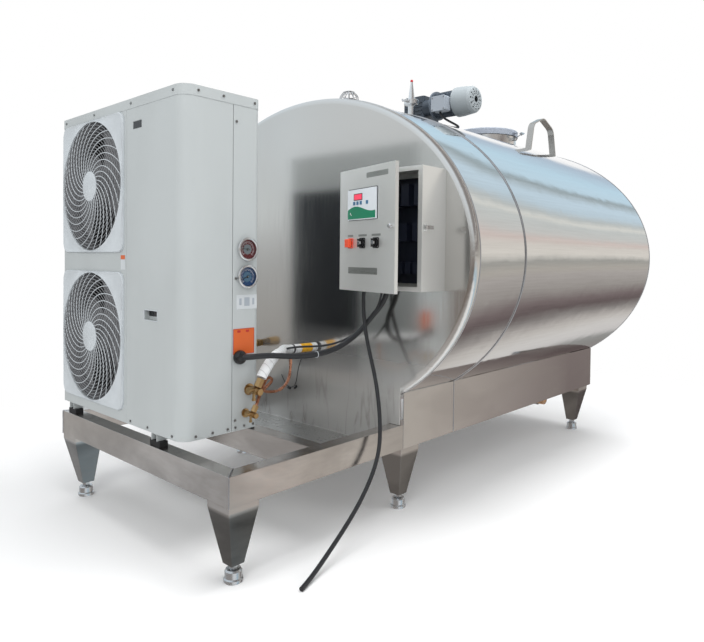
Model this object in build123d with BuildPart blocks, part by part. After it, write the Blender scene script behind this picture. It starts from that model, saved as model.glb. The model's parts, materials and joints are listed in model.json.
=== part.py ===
"""Bulk milk cooling tank: an insulated oval tank on a legged frame with its own condensing unit.

Millimetres. +X runs from the condensing unit to the plain rear end, +Y to the far side, +Z up.
The origin is on the floor, under the middle of the whole machine.
"""

from build123d import *
from math import cos, radians, sin
import os

os.makedirs("parts", exist_ok=True)

# ---- driving dimensions -------------------------------------------------------------------
# frame
FRAME_FRONT = -1412
FRAME_REAR = 1408
HALF_WIDTH = 627
RAIL_BOTTOM = 280
RAIL_TOP = 382
RAIL_WIDTH = 60
RAIL_WALL = 3
CROSS_BEAM_X = -985
SADDLE_X = (-470, 440, 1300)
SADDLE_BEAM_TOP = 345
SKIRT_START = -530
SKIRT_SEAM = -160
SKIRT_TOP = 517
SHEET = 3
# legs and feet
LEG_TOP = 120
LEG_FOOT = 50
LEG_COLLAR = 20
LEG_X = (-1350, -482, 1298)
LEG_Y = 565
LEG_LEAN = 10
LEG_BOTTOM = 62
STUD_R = 8
RUNNING_GAP = 0.05
# tank, an oval of half width A and half height B about height TANK_Z
A = 983
B = 740
TANK_Z = 1090
TANK_FRONT = -550
TANK_REAR = 1424
END_DEPTH = 30
SHELL_FRONT = TANK_FRONT + END_DEPTH
SHELL_REAR = TANK_REAR - END_DEPTH
KNUCKLE = 26
WALL = 3
FOAM = 60
VESSEL_FRONT = -480
VESSEL_REAR = 1355
VESSEL_KNUCKLE = 60
# fittings on the crown
MANHOLE_X = 1108
MANHOLE_R = 202
LID_TOP = 1933
BREATHER_X = -227
INLET = (222, -58)
HOOK_X = (946, 1289)
HOOK_Y = -400
HOOK_TOP = 1971
OUTLET_X = 1060
OUTLET_Z = 215
OUTLET_R = 25.5
# gearmotor and agitator
SHAFT_X = 400
SHAFT_R = 15
MOTOR_X = 345
MOTOR_Z = 1950
MOTOR_SHAFT_R = 9
WHEEL_R = 44
WORM_R = 10.5
PADDLE_Z = 560
# condensing unit
UNIT_X0 = -1405
UNIT_X1 = -1072
UNIT_Y0 = -342
UNIT_Y1 = 626
UNIT_Z0 = 429
UNIT_Z1 = 1679
COVER_LIP = 38
PANEL = 2
FRONT_CORNER_R = 50
REAR_CORNER_R = 22
COIL_OPENING_TOP = 1470
FAN_SEAM_Y = 56
SERVICE_SEAM_X = -1196
FAN_Y = 347
FAN_Z = (743, 1367)
GUARD = 546
GUARD_R = 266
FAN_HUB_FRONT = -1424
GAUGE_X = -1133
GAUGE_Z = (1109, 1006)
GAUGE_R = 42.5
VALVES = ((-1118, 578, 1.0), (-1135, 491, 0.75))
SUCTION_R = 20
LIQUID_R = 6
CONDUIT_R = 11
POWER_R = 8
# control box
BOX_FRONT = -702
BOX_Y = (-840, -430)
BOX_Z = (955, 1432)
DOOR_WIDTH = 392
DOOR_Z = (950, 1436)
DOOR_OPEN = 15
KNOB_AT = (180, 276)
BUTTON_AT = 92
SWITCH_Z = 1140


# ---- helpers ------------------------------------------------------------------------------
def save(piece, name):
    """Labels a finished piece and writes it as its own file."""
    piece.part.label = name
    export_step(piece.part, f"parts/{name}.step")


def oval_block(inset, front, rear, knuckle=0, rounded=(True, True)):
    """A solid oval drum lying along X; its front and rear edges may be rounded."""
    with BuildPart() as drum:
        with BuildSketch(Plane(origin=(front, 0, TANK_Z), x_dir=(0, 1, 0), z_dir=(1, 0, 0))):
            Ellipse(A - inset, B - inset)
        extrude(amount=rear - front)
        ends = drum.faces().filter_by(Axis.X).sort_by(Axis.X)
        for end, wanted in zip(ends, rounded):
            if knuckle and wanted:
                fillet(end.edges(), radius=knuckle)
    return drum.part


def upright(x, y, z):
    """A plane whose normal points up, placed at a point."""
    return Plane(origin=(x, y, z))


def turning_plane(x, y, z=0):
    """An upright plane through a vertical axis: its own x is the radius, its own y the height."""
    return Plane(origin=(x, y, z), x_dir=(1, 0, 0), z_dir=(0, -1, 0))


def upright_axis(x, y):
    """A vertical axis through a point."""
    return Axis((x, y, 0), (0, 0, 1))


def facing_near(x, y, z):
    """A plane on a face that looks towards the near side, its own x along the machine."""
    return Plane(origin=(x, y, z), x_dir=(1, 0, 0), z_dir=(0, -1, 0))


def facing_front(x, y, z):
    """A plane on a face that looks forward, its own x along Y."""
    return Plane(origin=(x, y, z), x_dir=(0, -1, 0), z_dir=(-1, 0, 0))


def box_between(low, high, mode=Mode.ADD):
    """A box from its low corner to its high corner."""
    size = [high[i] - low[i] for i in range(3)]
    middle = [(high[i] + low[i]) / 2 for i in range(3)]
    with Locations(tuple(middle)):
        Box(*size, mode=mode)


def hose(points, radius):
    """A round hose along a smooth curve through the points."""
    with BuildPart() as piece:
        with BuildLine() as path:
            Spline(*points)
        with BuildSketch(Plane(origin=path.line @ 0, z_dir=path.line % 0)):
            Circle(radius)
        sweep()
    return piece


TANK_OUTSIDE = oval_block(-0.4, -700, 1500)
SHELL_OUTSIDE = oval_block(0, SHELL_FRONT, SHELL_REAR)
CROWN = TANK_Z + B

# ---- frame --------------------------------------------------------------------------------
REAR_RAIL_Y = HALF_WIDTH - 5


def rails(inset, bottom, top_drop):
    """Every rail and beam of the frame as one block, drawn in by an inset on its long sides."""
    top = RAIL_TOP - top_drop
    for side in (-1, 1):
        for x0, x1, outer in (
            (FRAME_FRONT, SKIRT_START - 2, HALF_WIDTH),
            (SKIRT_START - 2, FRAME_REAR - 4, REAR_RAIL_Y),
        ):
            ys = sorted((side * (outer - inset), side * (HALF_WIDTH - RAIL_WIDTH + inset)))
            box_between((x0 + inset * (x0 == FRAME_FRONT), ys[0], bottom), (x1 + inset * (x1 < 0), ys[1], top))
    across = HALF_WIDTH - RAIL_WIDTH + inset
    for middle, high in (
        (FRAME_FRONT + RAIL_WIDTH / 2, top),
        (CROSS_BEAM_X, top),
        (FRAME_REAR - 4 - RAIL_WIDTH / 2, SADDLE_BEAM_TOP - top_drop),
    ):
        half = RAIL_WIDTH / 2 - inset
        box_between((middle - half, -across, bottom), (middle + half, across, high))
    for middle in SADDLE_X:
        half = RAIL_WIDTH / 2 - inset
        box_between((middle - half, -across, bottom), (middle + half, across, SADDLE_BEAM_TOP - top_drop))


with BuildPart() as rail_block:
    rails(0, RAIL_BOTTOM, 0)
with BuildPart() as rail_hollow:
    rails(RAIL_WALL, RAIL_BOTTOM - 1, RAIL_WALL)
with BuildPart() as base_frame:
    add(rail_block.part)
    add(rail_hollow.part, mode=Mode.SUBTRACT)
    # saddle plates cradle the drum
    for saddle in SADDLE_X:
        box_between((saddle - 4, -560, SADDLE_BEAM_TOP - 3), (saddle + 4, 560, 500))
    add(TANK_OUTSIDE, mode=Mode.SUBTRACT)
    # six folded legs, each a hollow tapered post under a short collar
    for leg_x in LEG_X:
        for side in (-1, 1):
            foot = (leg_x + (LEG_LEAN if leg_x < 0 else 0), side * (LEG_Y - LEG_LEAN))
            for inset, mode in ((0, Mode.ADD), (RAIL_WALL, Mode.SUBTRACT)):
                collar_top = RAIL_BOTTOM - inset
                with BuildSketch(upright(leg_x, side * LEG_Y, collar_top - LEG_COLLAR + inset)):
                    Rectangle(LEG_TOP - 2 * inset, LEG_TOP - 2 * inset)
                extrude(amount=LEG_COLLAR - inset, mode=mode)
                with BuildSketch(upright(leg_x, side * LEG_Y, RAIL_BOTTOM - LEG_COLLAR)):
                    Rectangle(LEG_TOP - 2 * inset, LEG_TOP - 2 * inset)
                with BuildSketch(upright(*foot, LEG_BOTTOM + 2 * inset)):
                    Rectangle(LEG_FOOT - 2 * inset, LEG_FOOT - 2 * inset)
                loft(mode=mode)
            with Locations((*foot, LEG_BOTTOM)):
                Cylinder(STUD_R + RUNNING_GAP, 60, mode=Mode.SUBTRACT)
save(base_frame, "base_frame")

PAD_R = 30
NUT_Z = 46
STUD_TOP = 100
for leg_x, place in zip(LEG_X, ("front", "middle", "rear")):
    for side, side_name in ((-1, "near"), (1, "far")):
        foot_x = leg_x + (LEG_LEAN if leg_x < 0 else 0)
        foot_y = side * (LEG_Y - LEG_LEAN)
        with BuildPart() as levelling_foot:
            with BuildSketch(turning_plane(foot_x, foot_y)):
                with BuildLine():
                    Polyline((0, 0), (PAD_R, 0), (33, 4), (33, 12), (29, 16), (29, 38), (25, 44))
                    Polyline((25, 44), (STUD_R, 47), (STUD_R, STUD_TOP), (0, STUD_TOP), (0, 0))
                make_face()
            revolve(axis=upright_axis(foot_x, foot_y))
            with BuildSketch(upright(foot_x, foot_y, NUT_Z)):
                RegularPolygon(15, 6)
            extrude(amount=14)
        save(levelling_foot, f"levelling_foot_{place}_{side_name}")

with BuildPart() as skirt_panels:
    for side in (-1, 1):
        ys = sorted((side * HALF_WIDTH, side * (HALF_WIDTH - SHEET)))
        box_between((SKIRT_START, ys[0], RAIL_BOTTOM), (SKIRT_SEAM - 1, ys[1], SKIRT_TOP))
        box_between((SKIRT_SEAM + 1, ys[0], RAIL_BOTTOM), (FRAME_REAR, ys[1], SKIRT_TOP))
    inner = HALF_WIDTH - SHEET - 1
    box_between((FRAME_REAR - SHEET, -inner, RAIL_BOTTOM), (FRAME_REAR, inner, SKIRT_TOP))
    add(TANK_OUTSIDE, mode=Mode.SUBTRACT)
save(skirt_panels, "skirt_panels")

deck_edge = HALF_WIDTH - RAIL_WIDTH - 0.5
with BuildPart() as deck_plate:
    box_between(
        (CROSS_BEAM_X + RAIL_WIDTH / 2 + 0.5, -deck_edge, RAIL_BOTTOM),
        (TANK_FRONT - 0.5, deck_edge, RAIL_BOTTOM + SHEET),
    )
save(deck_plate, "deck_plate")

# ---- tank ---------------------------------------------------------------------------------
# every opening through shell, foam and vessel: x, y, radius
CROWN_OPENINGS = ((MANHOLE_X, 0, MANHOLE_R + 1), (SHAFT_X, 0, 37), (BREATHER_X, 0, 21), (*INLET, 20))


def cut_openings():
    """Cuts the crown openings and the outlet hole out of the part being built."""
    for x, y, radius in CROWN_OPENINGS:
        with Locations((x, y, CROWN)):
            Cylinder(radius, 400, mode=Mode.SUBTRACT)
    with Locations((OUTLET_X, 0, TANK_Z - B)):
        Cylinder(OUTLET_R + 1, 300, mode=Mode.SUBTRACT)


with BuildPart() as outer_shell:
    add(SHELL_OUTSIDE)
    with Locations((SHAFT_X, 0, CROWN)):
        Cylinder(85, 40)
    add(oval_block(WALL, SHELL_FRONT - 1, SHELL_REAR + 1), mode=Mode.SUBTRACT)
    cut_openings()
save(outer_shell, "outer_shell")

with BuildPart() as front_end_sheet:
    add(oval_block(0, TANK_FRONT, SHELL_FRONT, KNUCKLE, (True, False)))
    hollow = oval_block(WALL, TANK_FRONT + WALL, SHELL_FRONT + 1, KNUCKLE - WALL, (True, False))
    add(hollow, mode=Mode.SUBTRACT)
    # the flat sheet carries on down as an apron between the skirts
    box_between((TANK_FRONT, -564, RAIL_BOTTOM + SHEET + 0.5), (TANK_FRONT + WALL, 564, 500))
    box_between((TANK_FRONT, -622, RAIL_TOP + 1), (TANK_FRONT + WALL, 622, 580))
save(front_end_sheet, "front_end_sheet")

with BuildPart() as rear_end_sheet:
    add(oval_block(0, SHELL_REAR, TANK_REAR, KNUCKLE, (False, True)))
    hollow = oval_block(WALL, SHELL_REAR - 1, TANK_REAR - WALL, KNUCKLE - WALL, (False, True))
    add(hollow, mode=Mode.SUBTRACT)
save(rear_end_sheet, "rear_end_sheet")

vessel_outside = oval_block(WALL + FOAM, VESSEL_FRONT, VESSEL_REAR, VESSEL_KNUCKLE)
vessel_inside = oval_block(
    2 * WALL + FOAM, VESSEL_FRONT + WALL, VESSEL_REAR - WALL, VESSEL_KNUCKLE - WALL
)
with BuildPart() as inner_vessel:
    add(vessel_outside)
    add(vessel_inside, mode=Mode.SUBTRACT)
    cut_openings()
save(inner_vessel, "inner_vessel")

EVAPORATOR_X = (-380, 1255)
EVAPORATOR_TOP = 700
PLATE = 6
with BuildPart() as evaporator_plate:
    add(oval_block(WALL + FOAM - PLATE, *EVAPORATOR_X))
    add(oval_block(WALL + FOAM - 0.3, EVAPORATOR_X[0] - 1, EVAPORATOR_X[1] + 1), mode=Mode.SUBTRACT)
    box_between((-600, -A, EVAPORATOR_TOP), (1500, A, 2000), mode=Mode.SUBTRACT)
    cut_openings()
save(evaporator_plate, "evaporator_plate")

with BuildPart() as plate_room:
    add(oval_block(WALL + FOAM - PLATE - 0.5, EVAPORATOR_X[0] - 1, EVAPORATOR_X[1] + 1))
    box_between((-600, -A, EVAPORATOR_TOP + 1), (1500, A, 2000), mode=Mode.SUBTRACT)
with BuildPart() as insulation_foam:
    add(oval_block(WALL + 0.5, TANK_FRONT + WALL + 0.5, TANK_REAR - WALL - 0.5, KNUCKLE))
    room = oval_block(WALL + FOAM - 0.3, VESSEL_FRONT - 0.5, VESSEL_REAR + 0.5, VESSEL_KNUCKLE)
    add(room, mode=Mode.SUBTRACT)
    add(plate_room.part, mode=Mode.SUBTRACT)
    cut_openings()
save(insulation_foam, "insulation_foam")

# manhole: a rolled collar with a hinge lug at the far side and a bolt lug at the near side
COLLAR_TOP = LID_TOP - 12
HINGE_Y = MANHOLE_R + 33
HINGE_Z = LID_TOP - 25
PIN_R = 5
BOLT_Y = -MANHOLE_R - 20
BOLT_Z = LID_TOP - 63
BOLT_PIN_R = 3
NOTCH_TOP = LID_TOP - 14
LUG_BOTTOM = LID_TOP - 85
FORK_Z = (LID_TOP - 29, LID_TOP - 21)
with BuildPart() as manhole_collar:
    with BuildSketch(upright(MANHOLE_X, 0, 1742)):
        Circle(MANHOLE_R)
        Circle(MANHOLE_R - WALL, mode=Mode.SUBTRACT)
    extrude(amount=COLLAR_TOP - 1742)
    for dx in (-34, 34):
        box_between(
            (MANHOLE_X + dx - 4, MANHOLE_R - 2.5, LUG_BOTTOM),
            (MANHOLE_X + dx + 4, HINGE_Y + 8, HINGE_Z + 8),
        )
    with Locations(Location((MANHOLE_X, HINGE_Y, HINGE_Z), (0, 90, 0))):
        Cylinder(PIN_R, 84)
    for dx in (-9, 9):
        box_between(
            (MANHOLE_X + dx - 2, BOLT_Y - 8, BOLT_Z - 10),
            (MANHOLE_X + dx + 2, -MANHOLE_R + 2, BOLT_Z + 10),
        )
    with Locations(Location((MANHOLE_X, BOLT_Y, BOLT_Z), (0, 90, 0))):
        Cylinder(BOLT_PIN_R, 26)
save(manhole_collar, "manhole_collar")

with BuildPart() as manhole_lid:
    with BuildSketch(upright(MANHOLE_X, 0, LID_TOP - 40)):
        Circle(MANHOLE_R + 10)
    extrude(amount=40)
    fillet(manhole_lid.faces().sort_by(Axis.Z)[-1].edges(), radius=8)
    with BuildSketch(upright(MANHOLE_X, 0, LID_TOP - 41)):
        Circle(MANHOLE_R + 7)
    extrude(amount=38, mode=Mode.SUBTRACT)
    # seal ring under the lid
    with BuildSketch(upright(MANHOLE_X, 0, COLLAR_TOP + 0.5)):
        Circle(MANHOLE_R + 2)
        Circle(MANHOLE_R - 10, mode=Mode.SUBTRACT)
    extrude(amount=LID_TOP - 3 - COLLAR_TOP - 0.5)
    # notch over the hinge lugs, then the hinge strap with its eye
    box_between(
        (MANHOLE_X - 42, MANHOLE_R + 3, LUG_BOTTOM),
        (MANHOLE_X + 42, MANHOLE_R + 20, NOTCH_TOP),
        mode=Mode.SUBTRACT,
    )
    strap = (MANHOLE_X + 28, HINGE_Y + 6, NOTCH_TOP + 8)
    box_between((MANHOLE_X - 28, MANHOLE_R - 2, NOTCH_TOP + 3), strap)
    box_between((MANHOLE_X - 28, HINGE_Y - 6, HINGE_Z), strap)
    with Locations(Location((MANHOLE_X, HINGE_Y, HINGE_Z), (0, 90, 0))):
        Cylinder(PIN_R + 5, 56)
        Cylinder(PIN_R + RUNNING_GAP, 56, mode=Mode.SUBTRACT)
    # forked lug for the swing bolt
    for dx in (-11, 11):
        box_between(
            (MANHOLE_X + dx - 6, -MANHOLE_R - 32, FORK_Z[0]),
            (MANHOLE_X + dx + 6, -MANHOLE_R - 8, FORK_Z[1]),
        )
save(manhole_lid, "manhole_lid")

# swing bolt with a wing nut, hanging outwards from its lug at rest
BOLT_REST = radians(60)
BOLT_PLANE = Plane(
    origin=(MANHOLE_X, BOLT_Y, BOLT_Z),
    x_dir=(1, 0, 0),
    z_dir=(0, -sin(BOLT_REST), cos(BOLT_REST)),
)
with BuildPart(BOLT_PLANE) as lid_swing_bolt:
    with Locations((0, 0, 30)):
        Cylinder(3.5, 50)
    with Locations((0, 0, 50)):
        Cylinder(9, 9)
    with Locations((0, 0, 57)):
        Box(46, 4, 16)
    with Locations(Location((0, 0, 0), (0, 90, 0))):
        Cylinder(7, 12)
        Cylinder(BOLT_PIN_R + RUNNING_GAP, 12, mode=Mode.SUBTRACT)
save(lid_swing_bolt, "lid_swing_bolt")

DOME_R = 52
DOME_WALL = 4
DOME_Z = 1893
with BuildPart() as breather:
    with BuildSketch(turning_plane(BREATHER_X, 0)):
        with BuildLine():
            Polyline((17, 1755), (20, 1755), (20, 1858), (30, 1862), (30, 1880), (DOME_R, 1884))
            Line((DOME_R, 1884), (DOME_R, DOME_Z))
            CenterArc((0, DOME_Z), DOME_R, 0, 90)
            Line((0, DOME_Z + DOME_R), (0, DOME_Z + DOME_R - DOME_WALL))
            CenterArc((0, DOME_Z), DOME_R - DOME_WALL, 0, 90)
            Polyline((DOME_R - DOME_WALL, DOME_Z), (DOME_R - DOME_WALL, 1890), (17, 1886), (17, 1755))
        make_face()
    revolve(axis=upright_axis(BREATHER_X, 0))
save(breather, "breather")

hook_middle = (HOOK_X[0] + HOOK_X[1]) / 2
HOOK_SHOULDER = 42
with BuildPart() as ladder_hook:
    with BuildLine() as hook_path:
        FilletPolyline(
            (HOOK_X[0], HOOK_Y, 1740),
            (HOOK_X[0] + HOOK_SHOULDER, HOOK_Y, HOOK_TOP - 48),
            (hook_middle, HOOK_Y, HOOK_TOP + 6),
            (HOOK_X[1] - HOOK_SHOULDER, HOOK_Y, HOOK_TOP - 48),
            (HOOK_X[1], HOOK_Y, 1740),
            radius=60,
        )
    with BuildSketch(Plane(origin=hook_path.line @ 0, x_dir=(0, 1, 0), z_dir=hook_path.line % 0)):
        Rectangle(40, 6)
    sweep()
    add(TANK_OUTSIDE, mode=Mode.SUBTRACT)
save(ladder_hook, "ladder_hook")

with BuildPart() as cleaning_inlet:
    with BuildSketch(turning_plane(*INLET)):
        with BuildLine():
            Polyline((0, 1560), (28, 1575), (28, 1615), (19, 1630), (19, 1940), (38, 1946), (42, 1950))
            Polyline((42, 1950), (42, 1972), (38, 1976), (24, 1982), (17, 1990), (6, 2078), (6, 2088))
            Polyline((6, 2088), (0, 2090), (0, 1560))
        make_face()
    revolve(axis=upright_axis(*INLET))
    with Locations((*INLET, 1780)):
        Cylinder(16, 330, mode=Mode.SUBTRACT)
    with Locations((INLET[0] - 48, INLET[1], 1961)):
        Box(26, 9, 9)
save(cleaning_inlet, "cleaning_inlet")

with BuildPart() as outlet_pipe:
    with BuildLine() as outlet_path:
        FilletPolyline((OUTLET_X, 0, 420), (OUTLET_X, 0, OUTLET_Z), (OUTLET_X, -400, OUTLET_Z), radius=60)
    with BuildSketch(Plane(origin=outlet_path.line @ 0, z_dir=outlet_path.line % 0)):
        Circle(OUTLET_R)
        Circle(OUTLET_R - 2, mode=Mode.SUBTRACT)
    sweep()
save(outlet_pipe, "outlet_pipe")

STEM_R = 5
with BuildPart() as outlet_valve_body:
    with BuildSketch(facing_near(OUTLET_X, -400, OUTLET_Z)):
        Circle(40)
    extrude(amount=40)
    with BuildSketch(facing_near(OUTLET_X, -440, OUTLET_Z)):
        Circle(27)
    extrude(amount=45)
    with Locations((OUTLET_X, -420, OUTLET_Z + 38)):
        Cylinder(11, 18)
    with BuildSketch(facing_near(OUTLET_X, -399, OUTLET_Z)):
        Circle(24.5)
    extrude(amount=87, mode=Mode.SUBTRACT)
    with Locations((OUTLET_X, -420, OUTLET_Z + 10)):
        Cylinder(STEM_R + RUNNING_GAP, 90, mode=Mode.SUBTRACT)
save(outlet_valve_body, "outlet_valve_body")

with BuildPart() as outlet_valve_lever:
    with Locations((OUTLET_X, -420, OUTLET_Z + 13)):
        Cylinder(STEM_R, 80)
    with BuildSketch(facing_near(OUTLET_X, -418, OUTLET_Z)):
        Circle(24)
    extrude(amount=4)
    box_between((OUTLET_X - 8, -430, OUTLET_Z + 48), (OUTLET_X + 110, -410, OUTLET_Z + 53))
save(outlet_valve_lever, "outlet_valve_lever")

# ---- gearmotor and agitator ---------------------------------------------------------------
GEARBOX_X = (315, 470)
GEARBOX_Y = 75
GEARBOX_Z = (1878, 2019)
FLANGE_Y = -143
MOTOR_END = -290
COWL_END = -406
BASE_Z = CROWN + 20
CASE = 8
with BuildPart() as gearbox_housing:
    box_between((GEARBOX_X[0], -GEARBOX_Y, GEARBOX_Z[0]), (GEARBOX_X[1], GEARBOX_Y, GEARBOX_Z[1]))
    fillet(gearbox_housing.edges().filter_by(Axis.Z), radius=14)
    for level in range(5):
        z = GEARBOX_Z[0] + 14 + 22 * level
        box_between((GEARBOX_X[0] - 5, -60, z), (GEARBOX_X[1] + 5, 60, z + 5))
    with Locations((SHAFT_X, 0, BASE_Z + 6)):
        Cylinder(82, 12)
    with Locations((SHAFT_X, 0, BASE_Z + 25)):
        Cylinder(48, 34)
    with Locations((SHAFT_X, 0, 1805)):
        Cylinder(35, 92)
    with Locations(Location((MOTOR_X, -110, MOTOR_Z), (90, 0, 0))):
        Cylinder(45, 70)
    box_between(
        (GEARBOX_X[0] + CASE, -GEARBOX_Y + CASE, GEARBOX_Z[0] + CASE),
        (GEARBOX_X[1] - CASE, GEARBOX_Y - CASE, GEARBOX_Z[1] - CASE),
        mode=Mode.SUBTRACT,
    )
    with Locations((SHAFT_X, 0, 1830)):
        Cylinder(SHAFT_R + RUNNING_GAP, 160, mode=Mode.SUBTRACT)
    with Locations(Location((MOTOR_X, -100, MOTOR_Z), (90, 0, 0))):
        Cylinder(MOTOR_SHAFT_R + RUNNING_GAP, 120, mode=Mode.SUBTRACT)
save(gearbox_housing, "gearbox_housing")

with BuildPart(facing_near(MOTOR_X, FLANGE_Y - 2, MOTOR_Z)) as motor_housing:
    length = FLANGE_Y - 2 - MOTOR_END
    with Locations((0, 0, 5)):
        Cylinder(80, 10)
    with Locations((0, 0, length / 2)):
        Cylinder(60, length)
    with PolarLocations(63, 28):
        with Locations((0, 0, length / 2 + 4)):
            Box(14, 2.5, length - 16)
    # seat of the terminal box on the side towards the unit
    with Locations((-66, -20, 96)):
        Box(10, 60, 60)
    with Locations((0, 0, length / 2)):
        Cylinder(50, length - 24, mode=Mode.SUBTRACT)
        Cylinder(MOTOR_SHAFT_R + RUNNING_GAP, length, mode=Mode.SUBTRACT)
save(motor_housing, "motor_housing")

with BuildPart() as terminal_box:
    box_between((225, -286, MOTOR_Z - 61), (274, -196, MOTOR_Z + 19))
    fillet(terminal_box.edges().filter_by(Axis.X), radius=8)
save(terminal_box, "terminal_box")

COWL_DEPTH = MOTOR_END - COWL_END
with BuildPart() as fan_cowl:
    # its own x is the radius and its own y runs towards the near side
    with BuildSketch(Plane(origin=(MOTOR_X, MOTOR_END, MOTOR_Z), x_dir=(1, 0, 0), z_dir=(0, 0, -1))):
        with BuildLine():
            Polyline((78, 0), (80, 0), (79, 34), (72, COWL_DEPTH - 18), (64, COWL_DEPTH - 5))
            Polyline((64, COWL_DEPTH - 5), (50, COWL_DEPTH), (20, COWL_DEPTH), (20, COWL_DEPTH - 2))
            Polyline((20, COWL_DEPTH - 2), (50, COWL_DEPTH - 2), (63, COWL_DEPTH - 7))
            Polyline((63, COWL_DEPTH - 7), (70, COWL_DEPTH - 19), (77, 34), (78, 0))
        make_face()
    revolve(axis=Axis((MOTOR_X, 0, MOTOR_Z), (0, 1, 0)))
    with BuildSketch(facing_near(MOTOR_X, COWL_END + 4, MOTOR_Z)):
        for ring in (30, 42, 54):
            with PolarLocations(ring, 12):
                Rectangle(7, 9)
    extrude(amount=6, mode=Mode.SUBTRACT)
    with BuildSketch(facing_near(MOTOR_X, MOTOR_END, MOTOR_Z)):
        Circle(78)
        Circle(20, mode=Mode.SUBTRACT)
    extrude(amount=6)
save(fan_cowl, "fan_cowl")

with BuildPart(facing_near(MOTOR_X, 0, MOTOR_Z)) as motor_rotor:
    with Locations((0, 0, 160)):
        Cylinder(MOTOR_SHAFT_R, 420)
    Cylinder(WORM_R, 56)
    with Locations((0, 0, 222)):
        Cylinder(45, 90)
    with Locations((0, 0, 350)):
        Cylinder(18, 24)
    with Locations((0, 0, 350)):
        with PolarLocations(38, 7):
            Box(50, 3, 20)
save(motor_rotor, "motor_rotor")

with BuildPart(upright(SHAFT_X, 0, MOTOR_Z)) as worm_wheel:
    Cylinder(WHEEL_R, 22)
    Cylinder(26, 44)
    Cylinder(SHAFT_R, 44, mode=Mode.SUBTRACT)
save(worm_wheel, "worm_wheel")

with BuildPart(upright(SHAFT_X, 0, 0)) as agitator_shaft:
    with Locations((0, 0, (PADDLE_Z + 1990) / 2)):
        Cylinder(SHAFT_R, 1990 - PADDLE_Z)
    for side in (-1, 1):
        with Locations(Location((side * 160, 0, PADDLE_Z + 60), (side * 35, 0, 0))):
            Box(310, 6, 110)
save(agitator_shaft, "agitator_shaft")

# ---- condensing unit ----------------------------------------------------------------------
PAN_TOP = UNIT_Z0 + 4
PANEL_TOP = UNIT_Z1 - COVER_LIP


def unit_outline(inset):
    """The unit's plan outline, drawn in by an inset, with its two rounded near corners."""
    x0 = UNIT_X0 + inset
    x1 = UNIT_X1 - inset
    y0 = UNIT_Y0 + inset
    y1 = UNIT_Y1 - inset
    with BuildSketch() as outline:
        with Locations(((x0 + x1) / 2, (y0 + y1) / 2)):
            Rectangle(x1 - x0, y1 - y0)
        corner = outline.vertices().group_by(Axis.Y)[0].sort_by(Axis.X)[0]
        fillet(corner, radius=FRONT_CORNER_R - inset)
        corner = outline.vertices().group_by(Axis.Y)[0].sort_by(Axis.X)[-1]
        fillet(corner, radius=REAR_CORNER_R - inset)
    return outline.sketch


with BuildPart() as unit_walls:
    with BuildSketch(Plane.XY.offset(PAN_TOP)):
        add(unit_outline(0))
    extrude(amount=PANEL_TOP - PAN_TOP)
    with BuildSketch(Plane.XY.offset(PAN_TOP)):
        add(unit_outline(PANEL))
    extrude(amount=PANEL_TOP - PAN_TOP, mode=Mode.SUBTRACT)

MOUNT_Y = (-150, 560)
with BuildPart() as unit_base_pan:
    with BuildSketch(Plane.XY.offset(UNIT_Z0)):
        add(unit_outline(0))
    extrude(amount=4)
    for y in MOUNT_Y:
        box_between((-1402, y - 20, UNIT_Z0 - 28), (-965, y + 20, UNIT_Z0))
        box_between((-1403, y - 17, UNIT_Z0 - 29), (-964, y + 17, UNIT_Z0 - 3), mode=Mode.SUBTRACT)
save(unit_base_pan, "unit_base_pan")

with BuildPart() as unit_mounts:
    for x in (FRAME_FRONT + RAIL_WIDTH / 2, CROSS_BEAM_X):
        for y in MOUNT_Y:
            for side in (-1, 1):
                edges = sorted((y + side * 17.5, y + side * 34))
                box_between((x - 17, edges[0], RAIL_TOP), (x + 17, edges[1], RAIL_TOP + 14))
            box_between((x - 17, y - 34, RAIL_TOP), (x + 17, y + 34, RAIL_TOP + 18.5))
save(unit_mounts, "unit_mounts")

with BuildPart() as unit_front_panel:
    add(unit_walls.part)
    box_between((UNIT_X0 - 1, UNIT_Y0 - 1, 0), (UNIT_X1 + 1, FAN_SEAM_Y, 2000), mode=Mode.SUBTRACT)
    box_between(
        (UNIT_X1 - PANEL - 1, FAN_SEAM_Y - 1, 0),
        (UNIT_X1 + 1, UNIT_Y1 - PANEL, COIL_OPENING_TOP),
        mode=Mode.SUBTRACT,
    )
    for fan_z in FAN_Z:
        with BuildSketch(facing_front(UNIT_X0 + PANEL + 1, FAN_Y, fan_z)):
            Circle(GUARD_R)
        extrude(amount=5, mode=Mode.SUBTRACT)
save(unit_front_panel, "unit_front_panel")

WINDOW = ((-60, 1560), (6, 1590))
GRIP = ((-176, 843), (-84, 879))
with BuildPart() as unit_side_panel:
    add(unit_walls.part)
    box_between((UNIT_X0 - 1, FAN_SEAM_Y - 1, 0), (UNIT_X1 + 1, UNIT_Y1 + 1, 2000), mode=Mode.SUBTRACT)
    box_between((SERVICE_SEAM_X - 1, UNIT_Y0 - 1, 0), (UNIT_X1 + 1, UNIT_Y1 + 1, 2000), mode=Mode.SUBTRACT)
    for low, high in (WINDOW, GRIP):
        box_between((UNIT_X0 - 1, low[0], low[1]), (UNIT_X0 + 5, high[0], high[1]), mode=Mode.SUBTRACT)
    # recessed hand grip pocket and the window's blank
    low, high = GRIP
    box_between((UNIT_X0 + PANEL, low[0] - 4, low[1] - 4), (UNIT_X0 + 22, high[0] + 4, high[1] + 4))
    box_between((UNIT_X0 + PANEL - 1, low[0], low[1]), (UNIT_X0 + 20, high[0], high[1]), mode=Mode.SUBTRACT)
    low, high = WINDOW
    box_between((UNIT_X0 + PANEL, low[0] - 4, low[1] - 4), (UNIT_X0 + PANEL + 2, high[0] + 4, high[1] + 4))
save(unit_side_panel, "unit_side_panel")

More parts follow.
